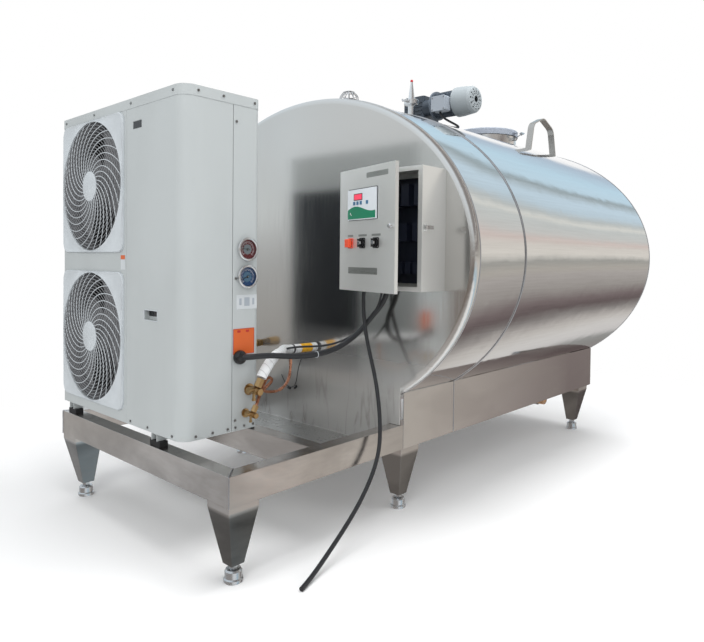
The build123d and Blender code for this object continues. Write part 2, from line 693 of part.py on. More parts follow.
with BuildPart() as service_panel:
    add(unit_walls.part)
    box_between((UNIT_X0 - 1, UNIT_Y0 - 1, 0), (SERVICE_SEAM_X + 1, UNIT_Y1 + 1, 2000), mode=Mode.SUBTRACT)
    box_between((UNIT_X0 - 1, FAN_SEAM_Y - 1, 0), (UNIT_X1 + 1, UNIT_Y1 + 1, 2000), mode=Mode.SUBTRACT)
    for gauge_z in GAUGE_Z:
        with BuildSketch(facing_near(GAUGE_X, UNIT_Y0 + 4, gauge_z)):
            Circle(38.5)
        extrude(amount=8, mode=Mode.SUBTRACT)
save(service_panel, "service_panel")

with BuildPart() as unit_top_cover:
    for inset, bottom, top, mode in (
        (-1, PANEL_TOP, UNIT_Z1, Mode.ADD),
        (1, PANEL_TOP - 1, UNIT_Z1 - PANEL, Mode.SUBTRACT),
    ):
        with BuildSketch(Plane.XY.offset(bottom)):
            add(unit_outline(inset))
        extrude(amount=top - bottom, mode=mode)
save(unit_top_cover, "unit_top_cover")

with BuildPart() as condenser_coil:
    box_between((-1112, FAN_SEAM_Y + 6, PAN_TOP), (-1076, UNIT_Y1 - 6, PANEL_TOP - 4))
save(condenser_coil, "condenser_coil")

with BuildPart(upright(-1235, -165, PAN_TOP)) as compressor:
    with Locations((0, 0, 170)):
        Cylinder(88, 300)
    fillet(compressor.faces().sort_by(Axis.Z)[-1].edges(), radius=40)
    for spot in ((-75, -75), (-75, 75), (75, -75), (75, 75)):
        with Locations((*spot, 10)):
            Cylinder(14, 20)
    with Locations((0, 0, 21)):
        Box(180, 180, 4)
save(compressor, "compressor")

FAN_SHAFT_R = 6
with BuildPart() as fan_motors:
    for dy in (-45, 45):
        box_between((-1236, FAN_Y + dy - 14, PAN_TOP), (-1232, FAN_Y + dy + 14, PANEL_TOP - 10))
    for fan_z in FAN_Z:
        with Locations(Location((-1281, FAN_Y, fan_z), (0, 90, 0))):
            Cylinder(58, 92)
        with Locations(Location((-1350, FAN_Y, fan_z), (0, 90, 0))):
            Cylinder(FAN_SHAFT_R, 60)
save(fan_motors, "fan_motors")

for fan_z, name in zip(FAN_Z, ("lower_fan", "upper_fan")):
    with BuildPart(facing_front(-1358, FAN_Y, fan_z)) as fan:
        Cylinder(62, 40)
        # two broad blades, each pitched about its own radius
        with PolarLocations(0, 2):
            with Locations(Location((140, 0, 0), (13, 0, 0))):
                Box(170, 225, 3)
        Cylinder(FAN_SHAFT_R + RUNNING_GAP, 60, mode=Mode.SUBTRACT)
    save(fan, name)

with BuildPart() as fan_guards:
    for fan_z in FAN_Z:
        with BuildSketch(facing_front(UNIT_X0, FAN_Y, fan_z)):
            RectangleRounded(GUARD, GUARD, 22)
            Circle(GUARD_R - 3, mode=Mode.SUBTRACT)
            for ring in range(1, 6):
                radius = 62 + 33 * ring
                Circle(radius + 2)
                Circle(radius - 2, mode=Mode.SUBTRACT)
            Circle(62)
            with PolarLocations(161, 20):
                Rectangle(212, 4)
        extrude(amount=6)
        with BuildSketch(facing_front(UNIT_X0 - 6, FAN_Y, fan_z)):
            Circle(62)
        extrude(amount=UNIT_X0 - 6 - FAN_HUB_FRONT, taper=20)
save(fan_guards, "fan_guards")

with BuildPart() as gauge_cases:
    for gauge_z in GAUGE_Z:
        with BuildSketch(facing_near(GAUGE_X, UNIT_Y0 + 40, gauge_z)):
            Circle(38)
        extrude(amount=40)
        with BuildSketch(facing_near(GAUGE_X, UNIT_Y0, gauge_z)):
            Circle(GAUGE_R)
        extrude(amount=13)
        with BuildSketch(facing_near(GAUGE_X, UNIT_Y0 - 5, gauge_z)):
            Circle(GAUGE_R - 6)
        extrude(amount=9, mode=Mode.SUBTRACT)
        with BuildSketch(facing_near(GAUGE_X, UNIT_Y0 - 5, gauge_z)):
            Circle(2)
        extrude(amount=6)
save(gauge_cases, "gauge_cases")

NEEDLE_REST = (172, 200)
for gauge_z, name, angle in zip(GAUGE_Z, ("high_gauge_needle", "low_gauge_needle"), NEEDLE_REST):
    turn = radians(angle)
    pointing = (cos(turn), 0, sin(turn))
    with BuildPart() as needle:
        with BuildSketch(Plane(origin=(GAUGE_X, UNIT_Y0 - 7, gauge_z), x_dir=pointing, z_dir=(0, -1, 0))):
            Circle(4.5)
            with BuildLine():
                Polyline((-9, -1.2), (30, -0.5), (30, 0.5), (-9, 1.2), (-9, -1.2))
            make_face()
            Circle(2 + RUNNING_GAP, mode=Mode.SUBTRACT)
        extrude(amount=1.5)
    save(needle, name)

# two service valves on the near side, each a body, a capped stem and a tilted flare nut
NUT_TILT = 30
NUT_AXIS = (sin(radians(NUT_TILT)), 0, cos(radians(NUT_TILT)))
NUT_LENGTH = 34


def nut_point(valve_x, valve_z, size, along):
    """A point on a flare nut's axis, a share of its length up from its middle."""
    reach = NUT_LENGTH * size * along
    across = valve_x + 12 * size + reach * sin(radians(NUT_TILT))
    return (across, UNIT_Y0 - 46, valve_z + 28 * size + reach * cos(radians(NUT_TILT)))


with BuildPart() as service_valves:
    for valve_x, valve_z, size in VALVES:
        with Locations(Location((valve_x, UNIT_Y0, valve_z), (90, 0, 0))):
            with Locations((0, 0, 2)):
                Cylinder(22 * size, 4)
            with Locations((0, 0, 27)):
                Cylinder(14 * size, 50)
            with Locations((0, 0, 44)):
                Sphere(15 * size)
            # stem with its cap on the side away from the pipe, then the small charging port
            with Locations(Location((-20 * size, 6 * size, 44), (0, 90, 0))):
                Cylinder(8 * size, 34 * size)
            with Locations(Location((-36 * size, 6 * size, 44), (0, 90, 0))):
                Cylinder(12 * size, 7 * size)
            with Locations(Location((-10 * size, -20 * size, 44), (90, 0, 0))):
                Cylinder(6 * size, 26 * size)
            with Locations(Location((-10 * size, -32 * size, 44), (90, 0, 0))):
                Cylinder(8 * size, 8 * size)
        with BuildSketch(facing_near(valve_x + 4 * size, UNIT_Y0 - 40, valve_z - 3 * size)):
            RegularPolygon(14 * size, 6)
        extrude(amount=26)
        with BuildSketch(Plane(origin=nut_point(valve_x, valve_z, size, -0.5), z_dir=NUT_AXIS)):
            RegularPolygon(16 * size, 6)
        extrude(amount=NUT_LENGTH * size)
save(service_valves, "service_valves")

suction_points = (
    nut_point(*VALVES[0], 0.66),
    nut_point(*VALVES[0], 1),
    (-1074, -392, 660),
    (-1036, -376, 684),
    (-975, -330, 692),
    (-870, -240, 686),
    (-790, -160, 678),
    (-735, -126, 670),
    (-650, -119, 666),
    (TANK_FRONT - 8, -117, 664),
)
suction_line = hose(suction_points, SUCTION_R)
save(suction_line, "suction_line")

liquid_points = (
    nut_point(*VALVES[1], 0.56),
    nut_point(*VALVES[1], 1),
    (-1100, -380, 549),
    (-1080, -372, 574),
    (-1035, -356, 612),
    (-1006, -340, 594),
    (-1028, -322, 560),
    (-990, -312, 544),
    (-915, -292, 543),
    (-862, -272, 568),
    (-845, -266, 610),
    (-845, -266, 670),
)
liquid_line = hose(liquid_points, LIQUID_R)
save(liquid_line, "liquid_line")

conduit_points = (
    (-1167, UNIT_Y0 - 1, 706),
    (-1164, UNIT_Y0 - 24, 707),
    (-1102, -412, 711),
    (-1006, -425, 701),
    (-865, -440, 694),
    (-745, -450, 713),
    (-655, -470, 762),
    (-606, -515, 840),
    (-588, -560, 905),
    (-586, -575, BOX_Z[0] - 3),
)
wiring_conduit = hose(conduit_points, CONDUIT_R)
save(wiring_conduit, "wiring_conduit")

power_points = (
    (-646, -500, BOX_Z[0] - 3),
    (-648, -505, 823),
    (-661, -545, 703),
    (-678, -596, 590),
    (-699, -634, 494),
    (-716, -656, 414),
    (-736, -668, 332),
    (-803, -682, 230),
    (-932, -700, 123),
    (-1052, -722, 60),
    (-1160, -750, 22),
    (-1232, -772, POWER_R + 1),
)
power_cable = hose(power_points, POWER_R)
save(power_cable, "power_cable")

# ---- control box --------------------------------------------------------------------------
HINGE_AT = (BOX_FRONT - 4, BOX_Y[1] + 5)
HINGE_Z_LEVELS = (1030, 1356)
HINGE_PIN_R = 2
EYE_HALF = 12
LATCH_X = BOX_FRONT + 17
with BuildPart() as control_box:
    box_between((BOX_FRONT, BOX_Y[0], BOX_Z[0]), (TANK_FRONT, BOX_Y[1], BOX_Z[1]))
    box_between(
        (BOX_FRONT + PANEL, BOX_Y[0] + PANEL, BOX_Z[0] + PANEL),
        (TANK_FRONT - PANEL, BOX_Y[1] - PANEL, BOX_Z[1] - PANEL),
        mode=Mode.SUBTRACT,
    )
    box_between(
        (BOX_FRONT - 1, BOX_Y[0] + 20, BOX_Z[0] + 18),
        (BOX_FRONT + 5, BOX_Y[1] - 20, BOX_Z[1] - 18),
        mode=Mode.SUBTRACT,
    )
    # fixed hinge pins on the far edge, held above and below the door's eyes
    for z in HINGE_Z_LEVELS:
        with Locations((HINGE_AT[0], HINGE_AT[1], z)):
            Cylinder(HINGE_PIN_R, 44)
        for low in (z - 22, z + EYE_HALF + 0.5):
            box_between((BOX_FRONT - 7, BOX_Y[1], low), (BOX_FRONT + 10, BOX_Y[1] + 8, low + 9.5))
    # lugs and pin of the latch on the near side
    for low in (1184, 1206.5):
        box_between((LATCH_X - 4, BOX_Y[0] - 12, low), (LATCH_X + 4, BOX_Y[0], low + 7.5))
    with Locations((LATCH_X, BOX_Y[0] - 9, 1199)):
        Cylinder(2.5, 30)
save(control_box, "control_box")

with BuildPart() as electrical_gear:
    box_between(
        (TANK_FRONT - 10, BOX_Y[0] + 30, BOX_Z[0] + 25),
        (TANK_FRONT - 7, BOX_Y[1] - 30, BOX_Z[1] - 25),
    )
    for row_z, count, size in ((1290, 5, (70, 38, 86)), (1150, 4, (60, 52, 72)), (1020, 8, (44, 26, 46))):
        pitch = 320 / count
        for number in range(count):
            y = BOX_Y[0] + 45 + pitch * (number + 0.5)
            box_between(
                (TANK_FRONT - 10 - size[0], y - size[1] / 2, row_z),
                (TANK_FRONT - 10, y + size[1] / 2, row_z + size[2]),
            )
save(electrical_gear, "electrical_gear")

# the door is laid out closed on a plane at its hinge, then swung open by DOOR_OPEN
swing = radians(DOOR_OPEN)
DOOR_PLANE = Plane(
    origin=(*HINGE_AT, 0),
    x_dir=(-sin(swing), -cos(swing), 0),
    z_dir=(-cos(swing), sin(swing), 0),
)
DOOR_START = 6
SWITCHES = ((KNOB_AT[0], 11.05), (KNOB_AT[1], 11.05), (BUTTON_AT, 12.05))
DOOR_FACE = 12
DOOR_BACK = -3
with BuildPart(DOOR_PLANE) as control_box_door:
    middle_z = (DOOR_Z[0] + DOOR_Z[1]) / 2
    height = DOOR_Z[1] - DOOR_Z[0]
    depth = DOOR_FACE - DOOR_BACK
    with Locations((DOOR_START + DOOR_WIDTH / 2, middle_z, (DOOR_FACE + DOOR_BACK) / 2)):
        Box(DOOR_WIDTH, height, depth)
    with Locations((DOOR_START + DOOR_WIDTH / 2, middle_z, (DOOR_FACE + DOOR_BACK) / 2 - PANEL)):
        Box(DOOR_WIDTH - 2 * PANEL, height - 2 * PANEL, depth, mode=Mode.SUBTRACT)
    # the lip is cut back on the hinge side to clear the box
    with Locations((DOOR_START + 10, middle_z, -4)):
        Box(26, 600, 8, mode=Mode.SUBTRACT)
    for position, radius in SWITCHES:
        with Locations((position, SWITCH_Z, DOOR_FACE)):
            Cylinder(radius, 20, mode=Mode.SUBTRACT)
    for z in HINGE_Z_LEVELS:
        with Locations((6, z, 3)):
            Box(9, 2 * EYE_HALF, 2)
        with Locations(Location((0, z, 0), (90, 0, 0))):
            Cylinder(4.5, 2 * EYE_HALF)
            Cylinder(HINGE_PIN_R + RUNNING_GAP, 2 * EYE_HALF, mode=Mode.SUBTRACT)
save(control_box_door, "control_box_door")

with BuildPart(DOOR_PLANE) as controller_panel:
    with Locations((181, 1292, DOOR_FACE + 4)):
        Box(204, 120, 8)
save(controller_panel, "controller_panel")

for position, name in zip(KNOB_AT, ("selector_knob_left", "selector_knob_right")):
    with BuildPart(DOOR_PLANE) as knob:
        with Locations((position, SWITCH_Z, 2)):
            Cylinder(11, 24)
        with Locations((position, SWITCH_Z, DOOR_FACE + 5)):
            Cylinder(17, 8)
        with Locations((position, SWITCH_Z, DOOR_FACE + 15)):
            Box(9, 32, 14)
    save(knob, name)

with BuildPart(DOOR_PLANE) as red_button:
    with Locations((BUTTON_AT, SWITCH_Z, 6)):
        Cylinder(12, 24)
    with Locations((BUTTON_AT, SWITCH_Z, DOOR_FACE + 14)):
        Box(34, 34, 12)
    fillet(red_button.faces().sort_by(Axis(DOOR_PLANE.origin, DOOR_PLANE.z_dir))[-1].edges(), radius=3)
save(red_button, "red_button")

with BuildPart() as door_latch:
    with Locations((LATCH_X, BOX_Y[0] - 9, 1199)):
        Cylinder(4.5, 14)
    box_between((LATCH_X, BOX_Y[0] - 12, 1192), (LATCH_X + 41, BOX_Y[0] - 8, 1206))
    with Locations((LATCH_X, BOX_Y[0] - 9, 1199)):
        Cylinder(2.5 + RUNNING_GAP, 20, mode=Mode.SUBTRACT)
save(door_latch, "door_latch")

# ---- visible screws -----------------------------------------------------------------------
with BuildPart() as panel_screws:
    near_spots = [(x, UNIT_Z0 + 14) for x in (-1350, -1280, -1215, -1180, -1140, -1098)]
    near_spots = near_spots + [(SERVICE_SEAM_X + 14, z) for z in (470, 1000, 1580)]
    near_spots = near_spots + [(x, UNIT_Z1 - 18) for x in (-1345, -1240, -1100)]
    for x, z in near_spots:
        proud = 1 if z > PANEL_TOP else 0
        with BuildSketch(facing_near(x, UNIT_Y0 - proud, z)):
            RegularPolygon(5, 6)
        extrude(amount=3)
    front_spots = [(y, UNIT_Z0 + 14) for y in (-280, -110, 20)]
    front_spots = front_spots + [(y, UNIT_Z1 - 18) for y in (-280, 20, 330, 600)]
    for y, z in front_spots:
        proud = 1 if z > PANEL_TOP else 0
        with BuildSketch(facing_front(UNIT_X0 - proud, y, z)):
            RegularPolygon(5, 6)
        extrude(amount=3)
save(panel_screws, "panel_screws")
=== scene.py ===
import json
import math
import random

import bmesh
import bpy
from mathutils import Matrix, Vector


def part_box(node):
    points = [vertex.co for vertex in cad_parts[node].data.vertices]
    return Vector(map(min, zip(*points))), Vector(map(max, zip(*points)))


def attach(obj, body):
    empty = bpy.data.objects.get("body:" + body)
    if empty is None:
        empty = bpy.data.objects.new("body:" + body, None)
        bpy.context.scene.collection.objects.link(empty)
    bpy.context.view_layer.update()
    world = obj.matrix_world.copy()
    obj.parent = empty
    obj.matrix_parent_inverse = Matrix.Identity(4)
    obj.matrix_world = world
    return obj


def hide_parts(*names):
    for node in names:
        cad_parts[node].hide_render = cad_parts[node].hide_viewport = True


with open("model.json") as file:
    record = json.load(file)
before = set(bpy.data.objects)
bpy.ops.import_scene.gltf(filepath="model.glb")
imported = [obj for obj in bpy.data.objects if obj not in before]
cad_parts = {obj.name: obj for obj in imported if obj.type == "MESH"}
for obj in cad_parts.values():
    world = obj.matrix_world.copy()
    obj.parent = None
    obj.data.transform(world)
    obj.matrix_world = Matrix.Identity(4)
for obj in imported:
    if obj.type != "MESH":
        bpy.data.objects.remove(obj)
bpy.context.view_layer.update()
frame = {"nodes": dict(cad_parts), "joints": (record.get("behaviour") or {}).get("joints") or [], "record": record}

draw = random.Random(7)
nodes = frame["nodes"]
X_AXIS, Y_AXIS, Z_AXIS = Vector((1, 0, 0)), Vector((0, 1, 0)), Vector((0, 0, 1))


# ---- node material helpers -----------------------------------------------------------------
class Shader:
    """A node material with one principled surface, built up call by call."""

    def __init__(self, name):
        self.material = bpy.data.materials.new(name)
        self.material.use_nodes = True
        self.tree = self.material.node_tree
        self.tree.nodes.clear()
        self.output = self.tree.nodes.new("ShaderNodeOutputMaterial")
        self.surface = self.tree.nodes.new("ShaderNodeBsdfPrincipled")
        self.tree.links.new(self.surface.outputs[0], self.output.inputs[0])
        self.place = self.tree.nodes.new("ShaderNodeTexCoord").outputs["Object"]

    def node(self, kind, inputs=None, **settings):
        made = self.tree.nodes.new(kind)
        for key, value in settings.items():
            setattr(made, key, value)
        for key, value in (inputs or {}).items():
            self.feed(made.inputs[key], value)
        return made

    def feed(self, socket, value):
        if isinstance(value, bpy.types.NodeSocket):
            self.tree.links.new(value, socket)
        else:
            socket.default_value = value

    def set(self, **values):
        for key, value in values.items():
            self.feed(self.surface.inputs[key.replace("_", " ")], value)
        return self

    def noise(self, scale, detail=3.0, stretch=(1, 1, 1), distortion=0.0):
        moved = self.node("ShaderNodeMapping", {"Vector": self.place, "Scale": stretch})
        made = self.node(
            "ShaderNodeTexNoise",
            {"Vector": moved.outputs[0], "Scale": scale, "Detail": detail, "Distortion": distortion},
        )
        return made.outputs["Fac"]

    def ramp(self, value, low, high, start=0.0, end=1.0):
        """Maps a value between two stops onto two colours or two numbers."""
        if isinstance(low, (int, float)):
            made = self.node(
                "ShaderNodeMapRange",
                {"Value": value, "From Min": start, "From Max": end, "To Min": low, "To Max": high},
            )
            return made.outputs[0]
        made = self.node("ShaderNodeValToRGB", {"Fac": value})
        made.color_ramp.elements[0].position = start
        made.color_ramp.elements[0].color = (*low, 1)
        made.color_ramp.elements[1].position = end
        made.color_ramp.elements[1].color = (*high, 1)
        return made.outputs[0]

    def mix(self, share, first, second):
        made = self.node("ShaderNodeMix", {"Factor": share}, data_type="RGBA")
        self.feed(made.inputs["A"], first if not isinstance(first, tuple) else (*first, 1))
        self.feed(made.inputs["B"], second if not isinstance(second, tuple) else (*second, 1))
        return made.outputs["Result"]

    def maths(self, operation, first, second=0.0, third=0.0):
        made = self.node("ShaderNodeMath", {0: first, 1: second, 2: third}, operation=operation)
        return made.outputs[0]

    def axis(self, letter):
        made = self.node("ShaderNodeSeparateXYZ", {"Vector": self.place})
        return made.outputs[letter]

    def band(self, value, low, high):
        """1 where a value lies between two limits, else 0."""
        return self.maths("MULTIPLY", self.maths("GREATER_THAN", value, low), self.maths("LESS_THAN", value, high))

    def bump(self, height, strength, distance=0.001, edge=0.0):
        inputs = {"Height": height, "Strength": strength, "Distance": distance}
        if edge:
            inputs["Normal"] = self.node("ShaderNodeBevel", {"Radius": edge}, samples=4).outputs[0]
        self.feed(self.surface.inputs["Normal"], self.node("ShaderNodeBump", inputs).outputs[0])
        return self


def steel(name, tint, rough, grain=(1, 60, 60), strength=0.05, smudge=0.12, edge=0.0):
    """Stainless sheet with a directional grain, slow waviness and handling smudges."""
    shader = Shader(name)
    lines = shader.noise(9.0, 4.0, grain)
    cloud = shader.noise(2.3, 5.0, (1, 1, 1), 0.6)
    spots = shader.noise(14.0, 2.0)
    dark = tuple(part * (1 - smudge) for part in tint)
    shader.set(
        Base_Color=shader.mix(shader.ramp(spots, 0.0, 0.35, 0.55, 0.8), shader.ramp(cloud, dark, tint, 0.3, 0.7), dark),
        Metallic=1.0,
        Roughness=shader.maths(
            "ADD", shader.ramp(lines, rough * 0.75, rough * 1.25, 0.3, 0.7), shader.ramp(cloud, 0.0, 0.05, 0.4, 0.8)
        ),
    )
    return shader.bump(lines, strength, 0.0006, edge)


def paint(name, tint, rough, peel=260.0, strength=0.05, dirt=0.06, edge=0.0015):
    """Powder coat with orange peel and a little uneven dust."""
    shader = Shader(name)
    cloud = shader.noise(3.1, 4.0, (1, 1, 0.5), 0.4)
    dark = tuple(part * (1 - dirt) for part in tint)
    shader.set(
        Base_Color=shader.ramp(cloud, dark, tint, 0.32, 0.62),
        Roughness=shader.ramp(cloud, rough * 1.15, rough * 0.9, 0.3, 0.7),
    )
    return shader.bump(shader.noise(peel, 2.0), strength, 0.0004, edge)


def moulded(name, tint, rough, grain=500.0, strength=0.08, metallic=0.0, wear=0.12):
    """Plastic, rubber or cast metal with fine grain and light wear."""
    shader = Shader(name)
    cloud = shader.noise(11.0, 3.0)
    light = tuple(min(1.0, part * (1 + wear) + wear * 0.01) for part in tint)
    shader.set(
        Base_Color=shader.ramp(cloud, tint, light, 0.4, 0.75),
        Roughness=shader.ramp(cloud, rough, rough * 0.85, 0.35, 0.7),
        Metallic=metallic,
    )
    return shader.bump(shader.noise(grain, 2.0), strength, 0.0003, 0.0006)


# ---- materials -------------------------------------------------------------------------------
along_x, along_y, along_z = (1, 70, 70), (70, 1, 70), (70, 70, 1)
look = {
    "bright_stainless": steel("body_steel", (0.80, 0.79, 0.78), 0.17, (0.6, 26, 26), 0.02, 0.05),
    "mirror_stainless": steel("end_steel", (0.66, 0.655, 0.64), 0.15, along_z, 0.02, 0.06),
    "vessel_stainless": steel("vessel_steel", (0.70, 0.70, 0.70), 0.2, along_x),
    "foot_steel": steel("foot_steel", (0.62, 0.64, 0.66), 0.24, (30, 30, 30), 0.05, 0.2, 0.001),
    "bright_steel": steel("bright_steel", (0.72, 0.73, 0.75), 0.16, (30, 30, 30), 0.02, 0.1, 0.0008),
    "chromed": steel("chromed", (0.86, 0.86, 0.87), 0.07, (20, 20, 20), 0.01, 0.08, 0.0006),
    "turned_steel": steel("turned_steel", (0.5, 0.5, 0.5), 0.25, (60, 4, 60)),
    "screw_zinc": steel("screw_zinc", (0.34, 0.34, 0.34), 0.3, (30, 30, 30), 0.05, 0.3, 0.0006),
    "unit_paint": paint("unit_paint", (0.475, 0.505, 0.508), 0.42),
    "gearbox_grey": paint("gearbox_grey", (0.06, 0.077, 0.10), 0.38, 120.0, 0.2, 0.25),
    "motor_grey": paint("motor_grey", (0.15, 0.18, 0.22), 0.4, 140.0, 0.15, 0.2),
    "terminal_grey": paint("terminal_grey", (0.37, 0.41, 0.46), 0.36, 140.0, 0.1),
    "cowl_grey": paint("cowl_grey", (0.36, 0.40, 0.42), 0.34, 160.0, 0.06),
    "black_paint": paint("black_paint", (0.02, 0.021, 0.022), 0.45, 160.0, 0.1),
    "needle_black": paint("needle_black", (0.01, 0.01, 0.01), 0.4),
    "foam": moulded("foam", (0.72, 0.58, 0.3), 0.9, 90.0, 0.6),
    "bronze": moulded("bronze", (0.55, 0.36, 0.16), 0.35, 200.0, 0.2, 1.0),
    "brass": moulded("brass", (0.44, 0.29, 0.14), 0.34, 160.0, 0.25, 1.0, 0.5),
    "black_rubber": moulded("black_rubber", (0.018, 0.018, 0.019), 0.75, 200.0, 0.4),
    "fan_plastic": moulded("fan_plastic", (0.17, 0.172, 0.18), 0.5),
    "guard_plastic": moulded("guard_plastic", (0.52, 0.555, 0.58), 0.4),
    "electrical_plastic": moulded("electrical_plastic", (0.012, 0.014, 0.02), 0.4),
    "controller_white": moulded("controller_white", (0.74, 0.78, 0.82), 0.22, 300.0, 0.02, 0.0, 0.02),
    "knob_black": moulded("knob_black", (0.012, 0.012, 0.013), 0.28),
    "button_red": moulded("button_red", (0.85, 0.09, 0.035), 0.3, 400.0, 0.04, 0.0, 0.05),
    "black_cable": moulded("black_cable", (0.02, 0.021, 0.024), 0.42, 150.0, 0.15),
}


def copper_look():
    """Drawn copper tube, patchy with tarnish and flux."""
    shader = Shader("copper")
    patch = shader.noise(26.0, 5.0, (1, 1, 1), 1.2)
    shader.set(
        Base_Color=shader.ramp(patch, (0.36, 0.15, 0.08), (0.78, 0.37, 0.24), 0.35, 0.62),
        Metallic=1.0,
        Roughness=shader.ramp(patch, 0.42, 0.24, 0.35, 0.65),
    )
    return shader.bump(shader.noise(180.0), 0.15, 0.0004)


def wrap_look(yellow_from, yellow_to):
    """White tape wrapped in slanted turns, with a yellow band along part of the run."""
    shader = Shader("pipe_wrap")
    slanted = shader.maths("ADD", shader.axis("X"), shader.maths("MULTIPLY", shader.axis("Z"), 0.6))
    turns = shader.node("ShaderNodeMath", {0: shader.maths("MULTIPLY", slanted, 34.0)}, operation="FRACT").outputs[0]
    # painted shade: the seam where each turn overlaps the next is drawn darker, on the white tape and on the yellow
    # band
    edge = shader.ramp(turns, 0.0, 1.0, 0.86, 1.0)
    x = shader.axis("X")
    white = shader.mix(edge, (0.78, 0.79, 0.80), (0.42, 0.42, 0.42))
    yellow = shader.mix(edge, (0.86, 0.44, 0.02), (0.5, 0.22, 0.01))
    taped = shader.maths("ADD", shader.band(x, -0.712, -0.700), shader.band(x, -0.562, -0.550))
    aged = shader.mix(taped, white, (0.02, 0.02, 0.02))
    shader.set(Base_Color=shader.mix(shader.band(x, yellow_from, yellow_to), aged, yellow), Roughness=0.55)
    return shader.bump(turns, 0.5, 0.0012)


def coil_look():
    """Dark fins packed close together, seen as fine upright lines over hairpin rows, with the gaps between the fins
    painted as shade.
    """
    shader = Shader("coil_fins")
    fins = shader.node("ShaderNodeMath", {0: shader.maths("MULTIPLY", shader.axis("Y"), 420.0)}, operation="FRACT").outputs[0]
    rows = shader.node("ShaderNodeMath", {0: shader.maths("MULTIPLY", shader.axis("Z"), 40.0)}, operation="FRACT").outputs[0]
    tube = shader.ramp(rows, 1.0, 0.0, 0.0, 0.22)
    # painted shade: the gaps between the fins are drawn darker than the fin edges
    fin_gap_shade = shader.mix(shader.ramp(fins, 0.0, 1.0, 0.4, 0.6), (0.012, 0.016, 0.022), (0.06, 0.07, 0.085))
    shader.set(Base_Color=shader.mix(tube, fin_gap_shade, (0.09, 0.085, 0.085)), Metallic=0.6, Roughness=0.45)
    return shader.bump(shader.maths("ADD", fins, tube), 0.6, 0.001)


def drum_look():
    """Polished sheet of the drum: long faint roll marks and soft dents."""
    shader = Shader("drum_steel")
    fine = shader.noise(12.0, 3.0, (0.3, 9, 9))
    wave = shader.noise(1.1, 1.0, (0.8, 1.2, 1.2))
    shader.set(
        Base_Color=shader.ramp(fine, (0.78, 0.775, 0.77), (0.82, 0.82, 0.815), 0.35, 0.65),
        Metallic=1.0,
        Roughness=shader.ramp(fine, 0.06, 0.085, 0.3, 0.7),
    )
    return shader.bump(wave, 0.3, 0.01)


def box_look():
    """Satin sheet of the control box with a faint upright grain."""
    shader = Shader("box_steel")
    grain = shader.noise(14.0, 2.0, (4, 4, 0.15))
    cloud = shader.noise(2.0, 2.0)
    shader.set(
        Base_Color=shader.ramp(cloud, (0.74, 0.745, 0.72), (0.80, 0.805, 0.785), 0.35, 0.65),
        Metallic=0.68,
        Roughness=shader.ramp(grain, 0.28, 0.31, 0.3, 0.7),
    )
    return shader.bump(cloud, 0.05, 0.002, 0.002)


def frame_look():
    """Folded sheet of the frame: bright rails with handling marks, and legs painted dark as shade."""
    shader = Shader("frame_steel_shaded_legs")
    cloud = shader.noise(2.6, 4.0, (1, 1, 2), 0.5)
    scuff = shader.noise(9.0, 3.0, (2, 2, 14))
    rail = shader.ramp(cloud, (0.48, 0.45, 0.43), (0.66, 0.625, 0.60), 0.35, 0.62)
    # painted shade: below the rails the legs get a much darker copy of the rail colour
    leg_painted_shade = shader.ramp(cloud, (0.12, 0.115, 0.11), (0.26, 0.25, 0.24), 0.35, 0.62)
    low = shader.ramp(shader.axis("Z"), 1.0, 0.0, 0.245, 0.262)
    shader.set(
        Base_Color=shader.mix(low, rail, leg_painted_shade),
        Metallic=1.0,
        Roughness=shader.ramp(scuff, 0.17, 0.26, 0.35, 0.7),
    )
    return shader.bump(cloud, 0.2, 0.003, 0.003)


def skirt_look():
    """Skirt sheet, its colour darkened towards the rear as painted shade."""
    shader = Shader("skirt_steel_rear_shade")
    cloud = shader.noise(2.0, 3.0, (1, 1, 2.5), 0.5)
    # painted shade: the sheet's colour darkens from front to rear
    rear = shader.ramp(shader.axis("X"), 0.0, 1.0, -0.35, 1.1)
    tint = shader.mix(rear, (0.80, 0.765, 0.74), (0.36, 0.31, 0.31))
    shader.set(
        Base_Color=shader.mix(shader.ramp(cloud, 0.0, 0.35, 0.45, 0.65), tint, (0.52, 0.48, 0.46)),
        Metallic=1.0,
        Roughness=shader.ramp(cloud, 0.16, 0.22, 0.35, 0.65),
    )
    return shader.bump(cloud, 0.25, 0.004, 0.0015)


END_LEAN = 5.0


def end_look():
    """Flat mirror-like end sheet: slow buckles, an upright grain and darker brown patches near its foot."""
    shader = Shader("end_sheet_steel")
    slow = shader.noise(1.3, 1.0)
    grain = shader.noise(20.0, 3.0, (9, 9, 0.25))
    foot_patch_noise = shader.noise(7.0, 5.0, (3, 3, 0.5), 1.5)
    low = shader.ramp(shader.axis("Z"), 1.0, 0.0, 0.3, 0.62)
    foot_patches = shader.maths("MULTIPLY", low, shader.ramp(foot_patch_noise, 0.0, 0.6, 0.52, 0.68))
    shader.set(
        Base_Color=shader.mix(foot_patches, shader.ramp(slow, (0.66, 0.65, 0.63), (0.74, 0.735, 0.72), 0.3, 0.7), (0.2, 0.17, 0.14)),
        Metallic=shader.ramp(shader.axis("Z"), 0.45, 1.0, 0.50, 0.78),
        Roughness=shader.maths("ADD", shader.ramp(grain, 0.12, 0.2, 0.3, 0.7), shader.maths("MULTIPLY", foot_patches, 0.25)),
    )
    lean = shader.maths("MULTIPLY", shader.axis("Y"), END_LEAN)
    return shader.bump(shader.maths("ADD", slow, lean), 0.3, 0.012)


